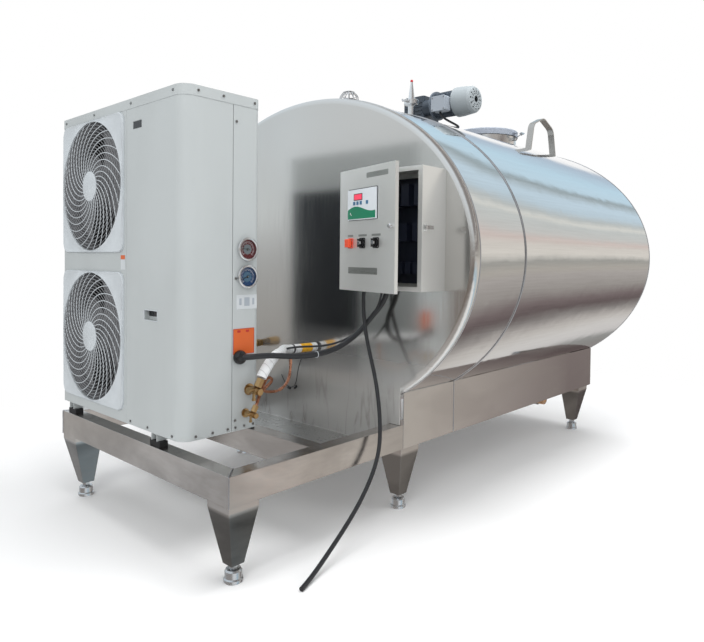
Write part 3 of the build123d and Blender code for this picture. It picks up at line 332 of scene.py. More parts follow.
look["box_stainless"] = box_look()
look["brushed_stainless"] = frame_look()
look["copper"] = copper_look()
look["pipe_wrap"] = wrap_look(-0.662, -0.597)
look["coil_fins"] = coil_look()
drum = drum_look()
end_sheet = end_look()
deck_steel = steel("deck_steel", (0.80, 0.80, 0.79), 0.3, (20, 1, 20), 0.02, 0.12, 0.001)
skirt_steel_rear_shade = skirt_look()
weld = steel("weld_bead", (0.66, 0.66, 0.68), 0.34, (40, 40, 40), 0.6, 0.45)
inlet_steel = steel("inlet_steel", (0.86, 0.87, 0.88), 0.25, (20, 20, 20), 0.02, 0.05)
lid_paint = paint("lid_grey", (0.36, 0.40, 0.47), 0.35)
hook_steel = steel("hook_steel", (0.55, 0.53, 0.50), 0.28, along_z, 0.05, 0.1, 0.001)
# painted shade: the electrical gear inside the control box is drawn near-black for the shade inside the box
inside_painted_shade = moulded("box_inside_shade", (0.012, 0.016, 0.03), 0.5)
glass = Shader("gauge_glass").set(Base_Color=(0.03, 0.03, 0.03, 1), Roughness=0.03, Alpha=0.07)
glass.bump(glass.noise(30.0, 1.0), 0.02)

slot_of = {part["node"]: part["material_slot"] for part in frame["record"]["subparts"]}
special = {
    "outer_shell": drum, "front_end_sheet": end_sheet, "rear_end_sheet": end_sheet, "deck_plate": deck_steel,
    "skirt_panels": skirt_steel_rear_shade, "cleaning_inlet": inlet_steel, "manhole_lid": lid_paint,
    "ladder_hook": hook_steel, "electrical_gear": inside_painted_shade,
}
for name, piece in nodes.items():
    piece.data.materials.clear()
    chosen = special.get(name) or look[slot_of[name]]
    piece.data.materials.append(chosen.material)


# ---- mesh helpers ----------------------------------------------------------------------------
def keep(name, mesh, shader, body, matrix=None, smooth=True):
    """Puts a finished mesh in the scene on its body."""
    piece = bpy.data.objects.new(name, mesh)
    bpy.context.scene.collection.objects.link(piece)
    if matrix is not None:
        piece.matrix_world = matrix
    mesh.materials.clear()
    mesh.materials.append(shader.material)
    for face in mesh.polygons:
        face.use_smooth = smooth
    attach(piece, body)
    return piece


def wires(name, paths, radius, shader, body, closed=False, smooth_path=True, sides=4):
    """Round wires, cables or beads along several paths, as one mesh."""
    curve = bpy.data.curves.new(name, "CURVE")
    curve.dimensions = "3D"
    curve.bevel_depth = radius
    curve.bevel_resolution = sides
    curve.use_fill_caps = True
    for path in paths:
        spline = curve.splines.new("NURBS" if smooth_path else "POLY")
        spline.points.add(len(path) - 1)
        for point, place in zip(spline.points, path):
            size = place[3] if len(place) > 3 else 1.0
            point.co = (*place[:3], 1.0)
            point.radius = size
        spline.use_cyclic_u = closed
        if smooth_path:
            spline.order_u = 4
            spline.use_endpoint_u = not closed
            spline.resolution_u = 8
    holder = bpy.data.objects.new(name + "_path", curve)
    bpy.context.scene.collection.objects.link(holder)
    bpy.context.view_layer.update()
    mesh = bpy.data.meshes.new_from_object(holder.evaluated_get(bpy.context.evaluated_depsgraph_get()))
    bpy.data.objects.remove(holder)
    mesh.name = name
    return keep(name, mesh, shader, body)


def prism(name, outline, low, high, shader, body, matrix=None, bevel=0.0):
    """A flat outline in its own x and y, given thickness along its own z, with softened edges."""
    made = bmesh.new()
    base = made.faces.new([made.verts.new((x, y, low)) for x, y in outline])
    raised = bmesh.ops.extrude_face_region(made, geom=[base])
    bmesh.ops.translate(
        made, vec=(0, 0, high - low), verts=[v for v in raised["geom"] if isinstance(v, bmesh.types.BMVert)]
    )
    bmesh.ops.recalc_face_normals(made, faces=made.faces)
    if bevel:
        bmesh.ops.bevel(made, geom=made.edges[:], offset=bevel, segments=2, affect="EDGES", profile=0.6)
    mesh = bpy.data.meshes.new(name)
    made.to_mesh(mesh)
    made.free()
    return keep(name, mesh, shader, body, matrix, smooth=False)


def turned(name, profile, shader, body, matrix=None, steps=48, hollow=False):
    """A profile of (radius, height) pairs turned about its own z; a hollow one is a closed loop."""
    made = bmesh.new()
    rings = []
    for radius, height in profile:
        ring = []
        for step in range(steps):
            angle = 2 * math.pi * step / steps
            ring.append(made.verts.new((radius * math.cos(angle), radius * math.sin(angle), height)))
        rings.append(ring)
    following = rings[1:] + rings[:1] if hollow else rings[1:]
    for first, second in zip(rings, following):
        for step in range(steps):
            after = (step + 1) % steps
            made.faces.new((first[step], first[after], second[after], second[step]))
    if not hollow:
        for ring in (rings[0], rings[-1]):
            made.faces.new(ring)
    bmesh.ops.recalc_face_normals(made, faces=made.faces)
    mesh = bpy.data.meshes.new(name)
    made.to_mesh(mesh)
    made.free()
    piece = keep(name, mesh, shader, body, matrix)
    mark_sharp(mesh)
    return piece


def mark_sharp(mesh, limit=math.radians(35)):
    """Keeps hard edges crisp on a smooth-shaded mesh."""
    made = bmesh.new()
    made.from_mesh(mesh)
    for edge in made.edges:
        if len(edge.link_faces) == 2 and edge.calc_face_angle(0) > limit:
            edge.smooth = False
    made.to_mesh(mesh)
    made.free()


def rectangle(x0, y0, x1, y1, corner=0.0, steps=5):
    """Corners of a rectangle, rounded where a corner radius is given."""
    if not corner:
        return [(x0, y0), (x1, y0), (x1, y1), (x0, y1)]
    points = []
    for cx, cy, start in ((x1 - corner, y0 + corner, 270), (x1 - corner, y1 - corner, 0), (x0 + corner, y1 - corner, 90), (x0 + corner, y0 + corner, 180)):
        for step in range(steps + 1):
            angle = math.radians(start + 90 * step / steps)
            points.append((cx + corner * math.cos(angle), cy + corner * math.sin(angle)))
    return points


def facing(origin, outward, upward=Z_AXIS):
    """A matrix whose own z looks outward and whose own y points up."""
    z = Vector(outward).normalized()
    x = Vector(upward).cross(z).normalized()
    y = z.cross(x)
    matrix = Matrix((x, y, z)).transposed().to_4x4()
    matrix.translation = Vector(origin)
    return matrix


def middle(node):
    low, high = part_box(node)
    return (low + high) / 2


# ---- fans and their guards -------------------------------------------------------------------
guard_low, guard_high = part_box("fan_guards")
PLATE_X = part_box("unit_front_panel")[0].x
FAN_HALF = (guard_high.y - guard_low.y) / 2
GUARD_INNER = 0.266
HUB_R = 0.060
DOME = -guard_low.x + PLATE_X - 0.003
SPOKES = 28
RINGS = 16
SWEEP = math.radians(72)


def guard_point(centre, radius, angle):
    """A point on the domed guard: it stands proud near the hub and falls back at its edge."""
    share = (radius - HUB_R) / (GUARD_INNER - HUB_R)
    lift = 0.004 + (DOME - 0.007) * (1 - max(0.0, share) ** 5)
    return (PLATE_X - lift, centre.y + radius * math.cos(angle), centre.z + radius * math.sin(angle))


# painted shade: the guard rings are the spokes' plastic drawn a darker grey, dimmed where they catch more light than
# the blades behind
ring_painted_shade = moulded("ring_painted_shade", (0.22, 0.225, 0.235), 0.5)


def guard(name, centre):
    paths = []
    for spoke in range(SPOKES):
        start = 2 * math.pi * spoke / SPOKES
        path = []
        for step in range(11):
            share = step / 10
            radius = HUB_R - 0.004 + (GUARD_INNER + 0.004 - HUB_R) * share
            path.append(guard_point(centre, radius, start + SWEEP * (share - 0.5)))
        paths.append(path)
    spokes = wires(name + "_spokes", paths, 0.0018, look["guard_plastic"], "tank", sides=2)
    circles = []
    for ring in range(RINGS):
        radius = HUB_R + 0.012 + (GUARD_INNER - HUB_R - 0.012) * ring / (RINGS - 1)
        circles.append([guard_point(centre, radius, 2 * math.pi * step / 60) for step in range(60)])
    wires(name + "_rings", circles, 0.0013, ring_painted_shade, "tank", True, False, 1)
    frame_at = facing((PLATE_X, centre.y, centre.z), (-1, 0, 0))
    plate = bezel(name + "_bezel", FAN_HALF, GUARD_INNER, frame_at)
    hub_profile = [(0.0005, -0.002), (HUB_R, -0.002), (HUB_R + 0.002, 0.0), (HUB_R + 0.001, 0.003), (HUB_R - 0.004, 0.005), (0.0005, 0.0062)]
    hub_at = facing((PLATE_X - DOME + 0.004, centre.y, centre.z), (-1, 0, 0))
    turned(name + "_hub", hub_profile, look["guard_plastic"], "tank", hub_at)
    return spokes


def bezel(name, half, inner, matrix, steps=96, corner=0.022):
    """The square frame round a guard: a raised lip at the opening and a rolled outer edge."""
    made = bmesh.new()
    levels = (
        (1.0, 0.0, 0.0), (1.0, 0.0, 0.006), (0.965, 0.0, 0.009), (0.90, 0.0, 0.0075),
        (0.30, 0.0, 0.0075), (0.10, 0.0, 0.011), (0.0, 0.0, 0.011), (0.0, 0.0, 0.0),
    )
    rings = []
    for outward, _, height in levels:
        ring = []
        for step in range(steps):
            angle = 2 * math.pi * step / steps
            c, s = math.cos(angle), math.sin(angle)
            reach = min(half / max(abs(c), 1e-6), half / max(abs(s), 1e-6))
            if reach > half * 1.36:
                reach = half * 1.36
            radius = inner + (reach - inner) * outward
            ring.append(made.verts.new((radius * c, radius * s, height)))
        rings.append(ring)
    for first, second in zip(rings, rings[1:] + rings[:1]):
        for step in range(steps):
            after = (step + 1) % steps
            made.faces.new((first[step], first[after], second[after], second[step]))
    bmesh.ops.recalc_face_normals(made, faces=made.faces)
    mesh = bpy.data.meshes.new(name)
    made.to_mesh(mesh)
    made.free()
    piece = keep(name, mesh, look["guard_plastic"], "tank", matrix)
    mark_sharp(mesh)
    return piece


def blade_fan(name, node, body):
    """Two broad swept blades on a hub, twisted from root to tip."""
    low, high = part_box(node)
    centre = (low + high) / 2
    made = bmesh.new()
    across, along = 18, 10
    for blade in range(2):
        grid = []
        for i in range(along + 1):
            radius = 0.055 + (0.238 - 0.055) * i / along
            row = []
            width = math.radians(138 - 16 * (i / along))
            for j in range(across + 1):
                share = j / across - 0.5
                angle = math.pi * blade + width * share + math.radians(20) * (i / along) ** 2
                depth = 0.046 * share * (0.65 + 0.35 * i / along) + 0.004 * math.cos(math.pi * share)
                row.append(made.verts.new((radius * math.cos(angle), radius * math.sin(angle), depth)))
            grid.append(row)
        for i in range(along):
            for j in range(across):
                made.faces.new((grid[i][j], grid[i + 1][j], grid[i + 1][j + 1], grid[i][j + 1]))
    mesh = bpy.data.meshes.new(name)
    bmesh.ops.recalc_face_normals(made, faces=made.faces)
    made.to_mesh(mesh)
    made.free()
    at = facing(centre, (-1, 0, 0))
    blades = keep(name + "_blades", mesh, look["fan_plastic"], body, at)
    skin = blades.modifiers.new("skin", "SOLIDIFY")
    skin.thickness = 0.0025
    skin.offset = 0
    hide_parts(node)
    profile = [(0.0005, -0.02), (0.058, -0.02), (0.062, -0.016), (0.062, 0.012), (0.056, 0.018), (0.018, 0.021), (0.0005, 0.021)]
    turned(name + "_hub", profile, look["fan_plastic"], body, at)
    return blades


for label, node, body in (("upper", "upper_fan", "fan_upper"), ("lower", "lower_fan", "fan_lower")):
    spot = middle(node)
    made_guard = guard(label + "_guard", spot)
    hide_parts("fan_guards")
    blade_fan(label + "_fan_swept", node, body)
    # the ring that each fan turns in
    shroud = [
        (GUARD_INNER + 0.001, 0.0), (GUARD_INNER + 0.003, 0.0), (GUARD_INNER - 0.012, -0.030),
        (GUARD_INNER - 0.012, -0.085), (GUARD_INNER - 0.014, -0.085), (GUARD_INNER - 0.014, -0.030),
    ]
    shroud_at = facing((PLATE_X + 0.004, spot.y, spot.z), (-1, 0, 0))
    turned(label + "_shroud", shroud, look["fan_plastic"], "tank", shroud_at, hollow=True)

# ---- gauges ------------------------------------------------------------------------------------
dial_white = moulded("dial_white", (0.75, 0.76, 0.77), 0.4)
dial_red = moulded("dial_red", (0.11, 0.010, 0.014), 0.35)
dial_blue = moulded("dial_blue", (0.008, 0.045, 0.14), 0.35)
pale_dial = moulded("pale_dial", (0.17, 0.20, 0.215), 0.4)
pale_blue_dial = moulded("pale_blue_dial", (0.07, 0.15, 0.23), 0.4)
dial_dark = moulded("dial_dark", (0.02, 0.022, 0.03), 0.35)
gauge_low, gauge_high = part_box("gauge_cases")
for label, node, face, ring_look in (
    ("high", "high_gauge_needle", pale_dial, dial_red), ("low", "low_gauge_needle", pale_blue_dial, dial_blue)
):
    body = "needle_high" if label == "high" else "needle_low"
    joint = next(j for j in frame["joints"] if j["child"] == body)
    origin = Vector((joint["pos_m"][0], gauge_low.y + 0.0079, joint["pos_m"][2]))
    at = facing(origin, (0, -1, 0))
    turned(label + "_gauge_dial", [(0.0025, 0), (0.0362, 0), (0.0362, 0.0006), (0.0025, 0.0006)], ring_look, "tank", at)
    turned(label + "_gauge_face", [(0.0025, 0.0006), (0.019, 0.0006), (0.019, 0.0011), (0.0025, 0.0011)], face, "tank", at)
    marks = []
    for mark in range(28):
        angle = math.radians(225 - 270 * mark / 27)
        inner = 0.0245 if mark % 3 else 0.0215
        marks.append([
            tuple(at @ Vector((r * math.cos(angle), r * math.sin(angle), 0.0012))) for r in (inner, 0.031)
        ])
    wires(label + "_gauge_marks", marks, 0.00055, dial_white, "tank", False, False, 1)
    glass_profile = [(0.0005, 0.0100), (0.036, 0.0085), (0.0363, 0.0078), (0.0005, 0.0078)]
    turned(label + "_gauge_glass", glass_profile, glass, "tank", at)
    rim = [(0.0368, 0.002), (0.0425, 0.002), (0.0445, 0.004), (0.0442, 0.008), (0.0415, 0.0102), (0.0385, 0.0098), (0.0368, 0.007)]
    turned_ring = rim + rim[:1]
    made = bmesh.new()
    rings = []
    for radius, height in rim:
        rings.append([made.verts.new((radius * math.cos(2 * math.pi * k / 64), radius * math.sin(2 * math.pi * k / 64), height)) for k in range(64)])
    for first, second in zip(rings, rings[1:] + rings[:1]):
        for k in range(64):
            made.faces.new((first[k], first[(k + 1) % 64], second[(k + 1) % 64], second[k]))
    bmesh.ops.recalc_face_normals(made, faces=made.faces)
    mesh = bpy.data.meshes.new(label + "_gauge_bezel")
    made.to_mesh(mesh)
    made.free()
    keep(label + "_gauge_bezel", mesh, look["chromed"], "tank", at)

# ---- control box door --------------------------------------------------------------------------
hinge = next(j for j in frame["joints"] if j["name"] == "door_hinge")["pos_m"]
DOOR_SWING = math.radians(15)
door_out = Vector((-math.cos(DOOR_SWING), math.sin(DOOR_SWING), 0))
door_along = Vector((-math.sin(DOOR_SWING), -math.cos(DOOR_SWING), 0))
door_at = Matrix((door_along, Z_AXIS, door_out)).transposed().to_4x4()
door_at.translation = Vector((hinge[0], hinge[1], 0))


def door_reach(node):
    return max((v.co - door_at.translation).dot(door_out) for v in nodes[node].data.vertices)


panel_face = door_reach("controller_panel")
skin_face = door_reach("control_box_door")
green = moulded("wave_green", (0.015, 0.21, 0.11), 0.25, 300.0, 0.02)
display = Shader("display").set(Base_Color=(0.5, 0.02, 0.06, 1), Roughness=0.2, Emission_Color=(1.0, 0.10, 0.16, 1), Emission_Strength=0.55)
display.bump(display.noise(900.0, 1.0, (1, 1, 3)), 0.2)
key_blue = moulded("key_blue", (0.05, 0.15, 0.27), 0.35)
border = moulded("panel_border", (0.03, 0.035, 0.04), 0.3)
wave_top = [(0.0815 + 0.199 * k / 24, 1.272 + 0.0145 * math.sin(math.pi * (0.0 + 1.62 * k / 24)) * (1 - 0.45 * k / 24)) for k in range(25)]
wave = [(0.0815, 1.2355), (0.2805, 1.2355)] + wave_top[::-1]
prism("controller_wave", wave, panel_face, panel_face + 0.0006, green, "door", door_at)
prism("controller_swoosh", [(0.099, 1.262), (0.102, 1.262), (0.106, 1.254), (0.113, 1.250), (0.106, 1.2515), (0.100, 1.257)], panel_face + 0.0006, panel_face + 0.0009, dial_white, "door", door_at)
prism("controller_window", rectangle(0.126, 1.308, 0.189, 1.335, 0.002), panel_face, panel_face + 0.0008, border, "door", door_at)
prism("controller_digits", rectangle(0.130, 1.311, 0.185, 1.332, 0.001), panel_face + 0.0008, panel_face + 0.0012, display, "door", door_at)
for index, spot in enumerate((0.130, 0.154, 0.178, 0.223)):
    outline = rectangle(spot - 0.0075, 1.2905, spot + 0.0075, 1.3045, 0.002)
    prism(f"controller_key_{index}", outline, panel_face, panel_face + 0.0016, key_blue, "door", door_at, 0.0004)
outline = rectangle(0.0775, 1.2315, 0.2845, 1.3545, 0.004)
rim_points = [tuple(door_at @ Vector((x, y, skin_face + 0.001))) for x, y in outline]
wires("controller_gasket", [rim_points], 0.0016, border, "door", True, False, 2)
# a blank data plate where the real door is engraved
etched = steel("etched_plate", (0.52, 0.525, 0.50), 0.34, along_x, 0.1, 0.2)
prism("door_name_band", rectangle(0.205, 1.392, 0.352, 1.412, 0.003), skin_face, skin_face + 0.0004, etched, "door", door_at)
prism("door_lower_band", rectangle(0.075, 1.018, 0.285, 1.044, 0.003), skin_face, skin_face + 0.0004, etched, "door", door_at)
# square collars under the switches
for label, spot, collar in (("button", 0.092, moulded("button_collar", (0.75, 0.10, 0.07), 0.3)), ("left", 0.180, look["knob_black"]), ("right", 0.276, look["knob_black"])):
    ring = rectangle(spot - 0.0185, 1.1215, spot + 0.0185, 1.1585, 0.004)
    loop = [tuple(door_at @ Vector((x, y, skin_face + 0.0018))) for x, y in ring]
    wires(label + "_collar", [loop], 0.0022, collar, "door", True, False, 3)
for label, spot, body in (("left", 0.180, "knob_left"), ("right", 0.276, "knob_right")):
    reach = door_reach("selector_knob_" + label)
    bar = rectangle(spot - 0.001, 1.1325, spot + 0.0165, 1.1475, 0.003)
    prism(f"selector_{label}_lever", bar, reach - 0.004, reach + 0.003, look["bright_steel"], body, door_at, 0.0012)
knob = [(0.0005, 0), (0.007, 0), (0.007, 0.004), (0.0095, 0.007), (0.0095, 0.014), (0.007, 0.017), (0.0005, 0.0175)]
knob_at = door_at @ Matrix.Translation((0.381, 1.199, skin_face))
turned("door_pull_knob", knob, look["chromed"], "door", knob_at, 24)
# label strips over the switches stay blank
for index, (low, high) in enumerate(((0.070, 0.110), (0.150, 0.210), (0.246, 0.306))):
    prism(f"switch_strip_{index}", rectangle(low, 1.166, high, 1.174, 0.001), skin_face, skin_face + 0.0003, etched, "door", door_at)

# ---- unit details ------------------------------------------------------------------------------
side_low, side_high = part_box("service_panel")
orange = moulded("orange_plate", (0.60, 0.11, 0.018), 0.35, 200.0, 0.03, 0.0, 0.05)
plate_grey = moulded("plate_grey", (0.55, 0.58, 0.60), 0.35, 200.0, 0.03)
near_at = facing((0, side_low.y, 0), (0, -1, 0))
prism("orange_plate", rectangle(-1.191, 0.716, -1.096, 0.811, 0.002), 0.0, 0.0007, orange, "tank", near_at, 0.0002)
plate_red = moulded("plate_red", (0.42, 0.02, 0.015), 0.35)
for index, spot in enumerate((-1.166, -1.127)):
    prism(f"orange_plate_oval_{index}", rectangle(spot - 0.008, 0.797, spot + 0.008, 0.806, 0.004), 0.0007, 0.0010, plate_red, "tank", near_at)
plate_edge = [(x, side_low.y - 0.0008, z) for x, z in rectangle(-1.191, 0.716, -1.096, 0.811, 0.002)]
wires("orange_plate_edge", [plate_edge], 0.0009, plate_red, "tank", True, False, 1)
prism("blank_plate", rectangle(-1.178, 0.884, -1.084, 0.938, 0.002), 0.0, 0.0007, plate_grey, "tank", near_at, 0.0002)
strips = [(-1.165, 0.900, -1.155, 0.925), (-1.142, 0.896, -1.118, 0.928), (-1.105, 0.900, -1.096, 0.925)]
for index, (x0, z0, x1, z1) in enumerate(strips):
    prism(f"blank_plate_patch_{index}", rectangle(x0, z0, x1, z1, 0.001), 0.0007, 0.0010, look["terminal_grey"], "tank", near_at)
front_at = facing((PLATE_X, 0, 0), (-1, 0, 0))


def front_outline(y0, z0, y1, z1, corner=0.001):
    return [(-y, z) for y, z in rectangle(y0, z0, y1, z1, corner)]


prism("front_tag", front_outline(0.066, 1.026, 0.100, 1.082), 0.0, 0.0006, plate_grey, "tank", front_at)
prism("front_tag_top", front_outline(0.066, 1.066, 0.100, 1.082), 0.0006, 0.0009, orange, "tank", front_at)
window_dark_and_pocket_shade = moulded("window_dark_and_pocket_shade", (0.01, 0.011, 0.014), 0.12, 100.0, 0.01)
prism("unit_window", front_outline(-0.058, 1.562, 0.004, 1.588), -0.0028, -0.0008, window_dark_and_pocket_shade, "tank", front_at)
# painted shade: a dark sheet at the back of the grip pocket stands for the shade inside it
prism("grip_pocket_shade", front_outline(-0.1755, 0.8560, -0.0845, 0.8785), -0.0198, -0.0185, window_dark_and_pocket_shade, "tank", front_at)
grip_rim = [(PLATE_X - 0.0005, y, z) for y, z in rectangle(-0.177, 0.842, -0.083, 0.880, 0.004)]
wires("grip_rim", [grip_rim], 0.0016, look["guard_plastic"], "tank", True, False, 2)
back_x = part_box("unit_side_panel")[1].x
coil_low, coil_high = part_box("condenser_coil")
back_at = facing((back_x + 0.0006, 0, 0), (1, 0, 0))
prism("unit_back_skirt", rectangle(coil_low.y, 0.437, coil_high.y, 0.655, 0.003), 0.0, 0.0012, look["unit_paint"], "tank", back_at, 0.0004)
# cable gland where the wiring leaves the unit
made = facing((-1.167, side_low.y, 0.706), (0, -1, 0))
turned("cable_gland", [(0.0118, 0), (0.024, 0), (0.0265, 0.006), (0.0265, 0.014), (0.023, 0.022), (0.016, 0.028), (0.0118, 0.030)], look["knob_black"], "tank", made, 24)
# ---- breather cage -----------------------------------------------------------------------------
low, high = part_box("breather")
centre = Vector(((low.x + high.x) / 2, (low.y + high.y) / 2, 1.880))
cage_height = high.z - 1.885
cage_r = (high.x - low.x) / 2 - 0.003
arcs = []
for turn in range(6):
    angle = math.pi * turn / 6 + 0.2
    arc = []
    for step in range(19):
        lean = math.pi * step / 18
        bulge = cage_r * (1 + 0.05 * math.sin(3 * lean))
        arc.append((centre.x + bulge * math.cos(lean) * math.cos(angle), centre.y + bulge * math.cos(lean) * math.sin(angle), centre.z + 0.004 + cage_height * math.sin(lean) ** 0.8))
    arcs.append(arc)
cage = wires("breather_cage", arcs, 0.0022, look["chromed"], "tank", False, False, 2)
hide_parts("breather")
hoops = []
for share in (0.15, 0.55, 0.85):
    radius = cage_r * math.cos(math.asin(share) * 0.92)
    hoops.append([(centre.x + radius * math.cos(2 * math.pi * k / 40), centre.y + radius * math.sin(2 * math.pi * k / 40), centre.z + 0.006 + cage_height * share) for k in range(40)])
wires("breather_hoops", hoops, 0.0020, look["chromed"], "tank", True, False, 2)
base = [(0.0005, -0.1), (0.020, -0.1), (0.020, -0.03), (0.046, -0.026), (0.050, -0.018), (0.050, 0.004), (0.040, 0.010), (0.034, 0.020), (0.010, 0.026), (0.0005, 0.026)]
turned("breather_base", base, look["knob_black"], "tank", Matrix.Translation(centre))

# ---- welds -------------------------------------------------------------------------------------
HALF_A, HALF_B, OVAL_Z = 0.983, 0.740, 1.090


def oval(x, grow, steps=160, start=0.0, end=2 * math.pi):
    points = []
    for step in range(steps):
        angle = start + (end - start) * step / (steps - 1 if end - start < 6.28 else steps)
        points.append((x, (HALF_A + grow) * math.cos(angle), OVAL_Z + (HALF_B + grow) * math.sin(angle)))
    return points


shell_low, shell_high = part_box("outer_shell")
wires("shell_girth_weld", [oval(-0.163, 0.0006)], 0.0042, weld, "tank", True, False, 2)
wires("end_seams", [oval(shell_low.x, -0.0004), oval(shell_high.x, -0.0004)], 0.0026, weld, "tank", True, False, 2)


def bead(start, end, radius, count):
    """A hand-laid weld: short overlapping blobs along a line."""
    points = []
    for step in range(count):
        share = step / (count - 1)
        size = 0.65 + 0.6 * (step % 2) + 0.2 * draw.random()
        place = Vector(start).lerp(Vector(end), share)
        points.append((place.x + (draw.random() - 0.5) * 0.0012, place.y + (draw.random() - 0.5) * 0.0012, place.z, size))
    return points


rail_low, rail_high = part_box("base_frame")
RAIL_BOTTOM, RAIL_TOP, RAIL = 0.280, 0.382, 0.060
beads = []
for side in (-1, 1):
    corner_y = side * rail_high.y
    beads.append(bead((rail_low.x, corner_y, RAIL_BOTTOM), (rail_low.x, corner_y, RAIL_TOP), 0.003, 28))
    beads.append(bead((rail_low.x, corner_y, RAIL_TOP), (rail_low.x + RAIL, corner_y - side * RAIL, RAIL_TOP), 0.003, 18))
    for beam_x in (-1.015, -0.955):
        inner_y = side * (rail_high.y - RAIL)
        beads.append(bead((beam_x, inner_y, RAIL_BOTTOM + 0.004), (beam_x, inner_y, RAIL_TOP), 0.003, 20))
wires("frame_welds", beads, 0.0026, weld, "tank", False, False, 2)
skirt_low, skirt_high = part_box("skirt_panels")
seams = []
for side in (-1, 1):
    y = side * (skirt_high.y + 0.0002)
    seams.append(bead((-0.160, y, skirt_low.z + 0.002), (-0.160, y, skirt_high.z - 0.002), 0.002, 60))
wires("skirt_seams", seams, 0.0020, weld, "tank", False, False, 2)

# ---- cables --------------------------------------------------------------------------------------
box_low, box_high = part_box("control_box")
FACE_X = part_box("front_end_sheet")[0].x
second = [
    (-0.600, -0.560, box_low.z + 0.003), (-0.600, -0.556, 0.90), (-0.612, -0.50, 0.80), (-0.655, -0.40, 0.725),
    (-0.72, -0.33, 0.700), (-0.80, -0.27, 0.704), (-0.86, -0.22, 0.690), (-0.80, -0.16, 0.662), (-0.66, -0.10, 0.648), (-0.555, -0.06, 0.64),
]
wires("sensor_lead", [second], 0.0045, look["black_cable"], "tank")
probe = [(-0.556, -0.055, 0.640), (-0.566, -0.02, 0.60), (-0.560, 0.01, 0.52), (-0.556, 0.02, 0.465), (-0.562, 0.05, 0.44), (-0.556, 0.10, 0.452), (-0.556, 0.13, 0.50)]
wires("probe_wire", [probe], 0.0018, look["black_cable"], "tank")
wires("probe_plugs", [[(-0.560, 0.015, 0.458), (-0.560, 0.028, 0.446)], [(-0.560, 0.060, 0.440), (-0.559, 0.078, 0.444)]], 0.006, look["knob_black"], "tank", False, False, 3)
cowl_at = middle("fan_cowl")
crown = [
    (0.252, -0.235, cowl_at.z - 0.061), (0.250, -0.240, cowl_at.z - 0.080), (0.262, -0.262, 1.846),
    (0.300, -0.300, 1.822), (0.372, -0.290, 1.815), (0.380, -0.235, 1.822), (0.315, -0.225, 1.825),
    (0.18, -0.245, 1.820),
]
wires("motor_lead", [crown], 0.006, look["black_cable"], "tank")
tie_points = []
for x, y, z in ((-0.86, -0.440, 0.694),):
    tie_points.append([(x, y + 0.013 * math.cos(2 * math.pi * k / 16), z + 0.013 * math.sin(2 * math.pi * k / 16)) for k in range(16)])
wires("cable_tie", tie_points, 0.0014, look["guard_plastic"], "tank", True, False, 1)

# ---- gearmotor details ---------------------------------------------------------------------------
box_t_low, box_t_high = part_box("terminal_box")
lid_at = facing((box_t_low.x, (box_t_low.y + box_t_high.y) / 2, (box_t_low.z + box_t_high.z) / 2), (-1, 0, 0))
half_w, half_h = (box_t_high.y - box_t_low.y) / 2, (box_t_high.z - box_t_low.z) / 2
prism("terminal_lid", rectangle(-half_w - 0.001, -half_h - 0.001, half_w + 0.001, half_h + 0.001, 0.008), 0.0, 0.006, look["terminal_grey"], "tank", lid_at, 0.0015)
for index, (sx, sy) in enumerate(((-1, -1), (-1, 1), (1, -1), (1, 1))):
    spot = lid_at @ Matrix.Translation((sx * (half_w - 0.008), sy * (half_h - 0.008), 0.006))
    turned(f"terminal_screw_{index}", [(0.0004, 0), (0.0038, 0), (0.0038, 0.0012), (0.0025, 0.0026), (0.0004, 0.003)], look["screw_zinc"], "tank", spot, 16)
gear_low, gear_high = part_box("gearbox_housing")
for index in range(6):
    angle = 2 * math.pi * (index + 0.5) / 6
    bolt = Matrix.Translation((0.400 + 0.068 * math.cos(angle), 0.068 * math.sin(angle), 1.8575))
    hexagon = [(0.0075 * math.cos(math.pi * k / 3), 0.0075 * math.sin(math.pi * k / 3)) for k in range(6)]
    prism(f"gearbox_bolt_{index}", hexagon, 0, 0.007, look["screw_zinc"], "tank", bolt, 0.0008)
grille_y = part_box("fan_cowl")[0].y
circles = []
for radius in (0.018, 0.027, 0.036, 0.045):
    circle = []
    for k in range(36):
        angle = 2 * math.pi * k / 36
        spot = (cowl_at.x + radius * math.cos(angle), grille_y + 0.0015, cowl_at.z + radius * math.sin(angle))
        circle.append(spot)
    circles.append(circle)
wires("cowl_grille", circles, 0.0016, look["cowl_grey"], "tank", True, False, 1)
tip = [(0.0005, 0), (0.0072, 0), (0.0078, 0.006), (0.006, 0.012), (0.0005, 0.0135)]
red_tip = moulded("inlet_tip_red", (0.5, 0.02, 0.03), 0.35)
inlet_low, inlet_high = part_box("cleaning_inlet")
turned("inlet_tip", tip, red_tip, "tank", Matrix.Translation((0.222, -0.058, inlet_high.z - 0.0135)), 20)
wing = [(-0.017, -0.004), (0.017, -0.004), (0.022, 0.010), (0.014, 0.012), (0.006, 0.004), (-0.006, 0.004), (-0.014, 0.012), (-0.022, 0.010)]
prism("inlet_wing_nut", wing, -0.002, 0.002, look["bright_steel"], "tank", facing((0.161, -0.058, 1.962), (-1, 0, 0)), 0.0006)

# ---- outlet cap and stub union ---------------------------------------------------------------------
tan = moulded("tan_cap", (0.50, 0.27, 0.13), 0.5)
cap = [(0.0275, 0.0), (0.031, 0.0), (0.033, 0.004), (0.033, 0.034), (0.031, 0.040), (0.0005, 0.043), (0.0005, 0.0405), (0.0275, 0.0405)]
out_low, out_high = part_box("outlet_valve_body")
cap_at = facing((1.060, out_low.y + 0.0415, 0.215), (0, -1, 0))
turned("outlet_cap", cap, tan, "tank", cap_at, 32, hollow=True)
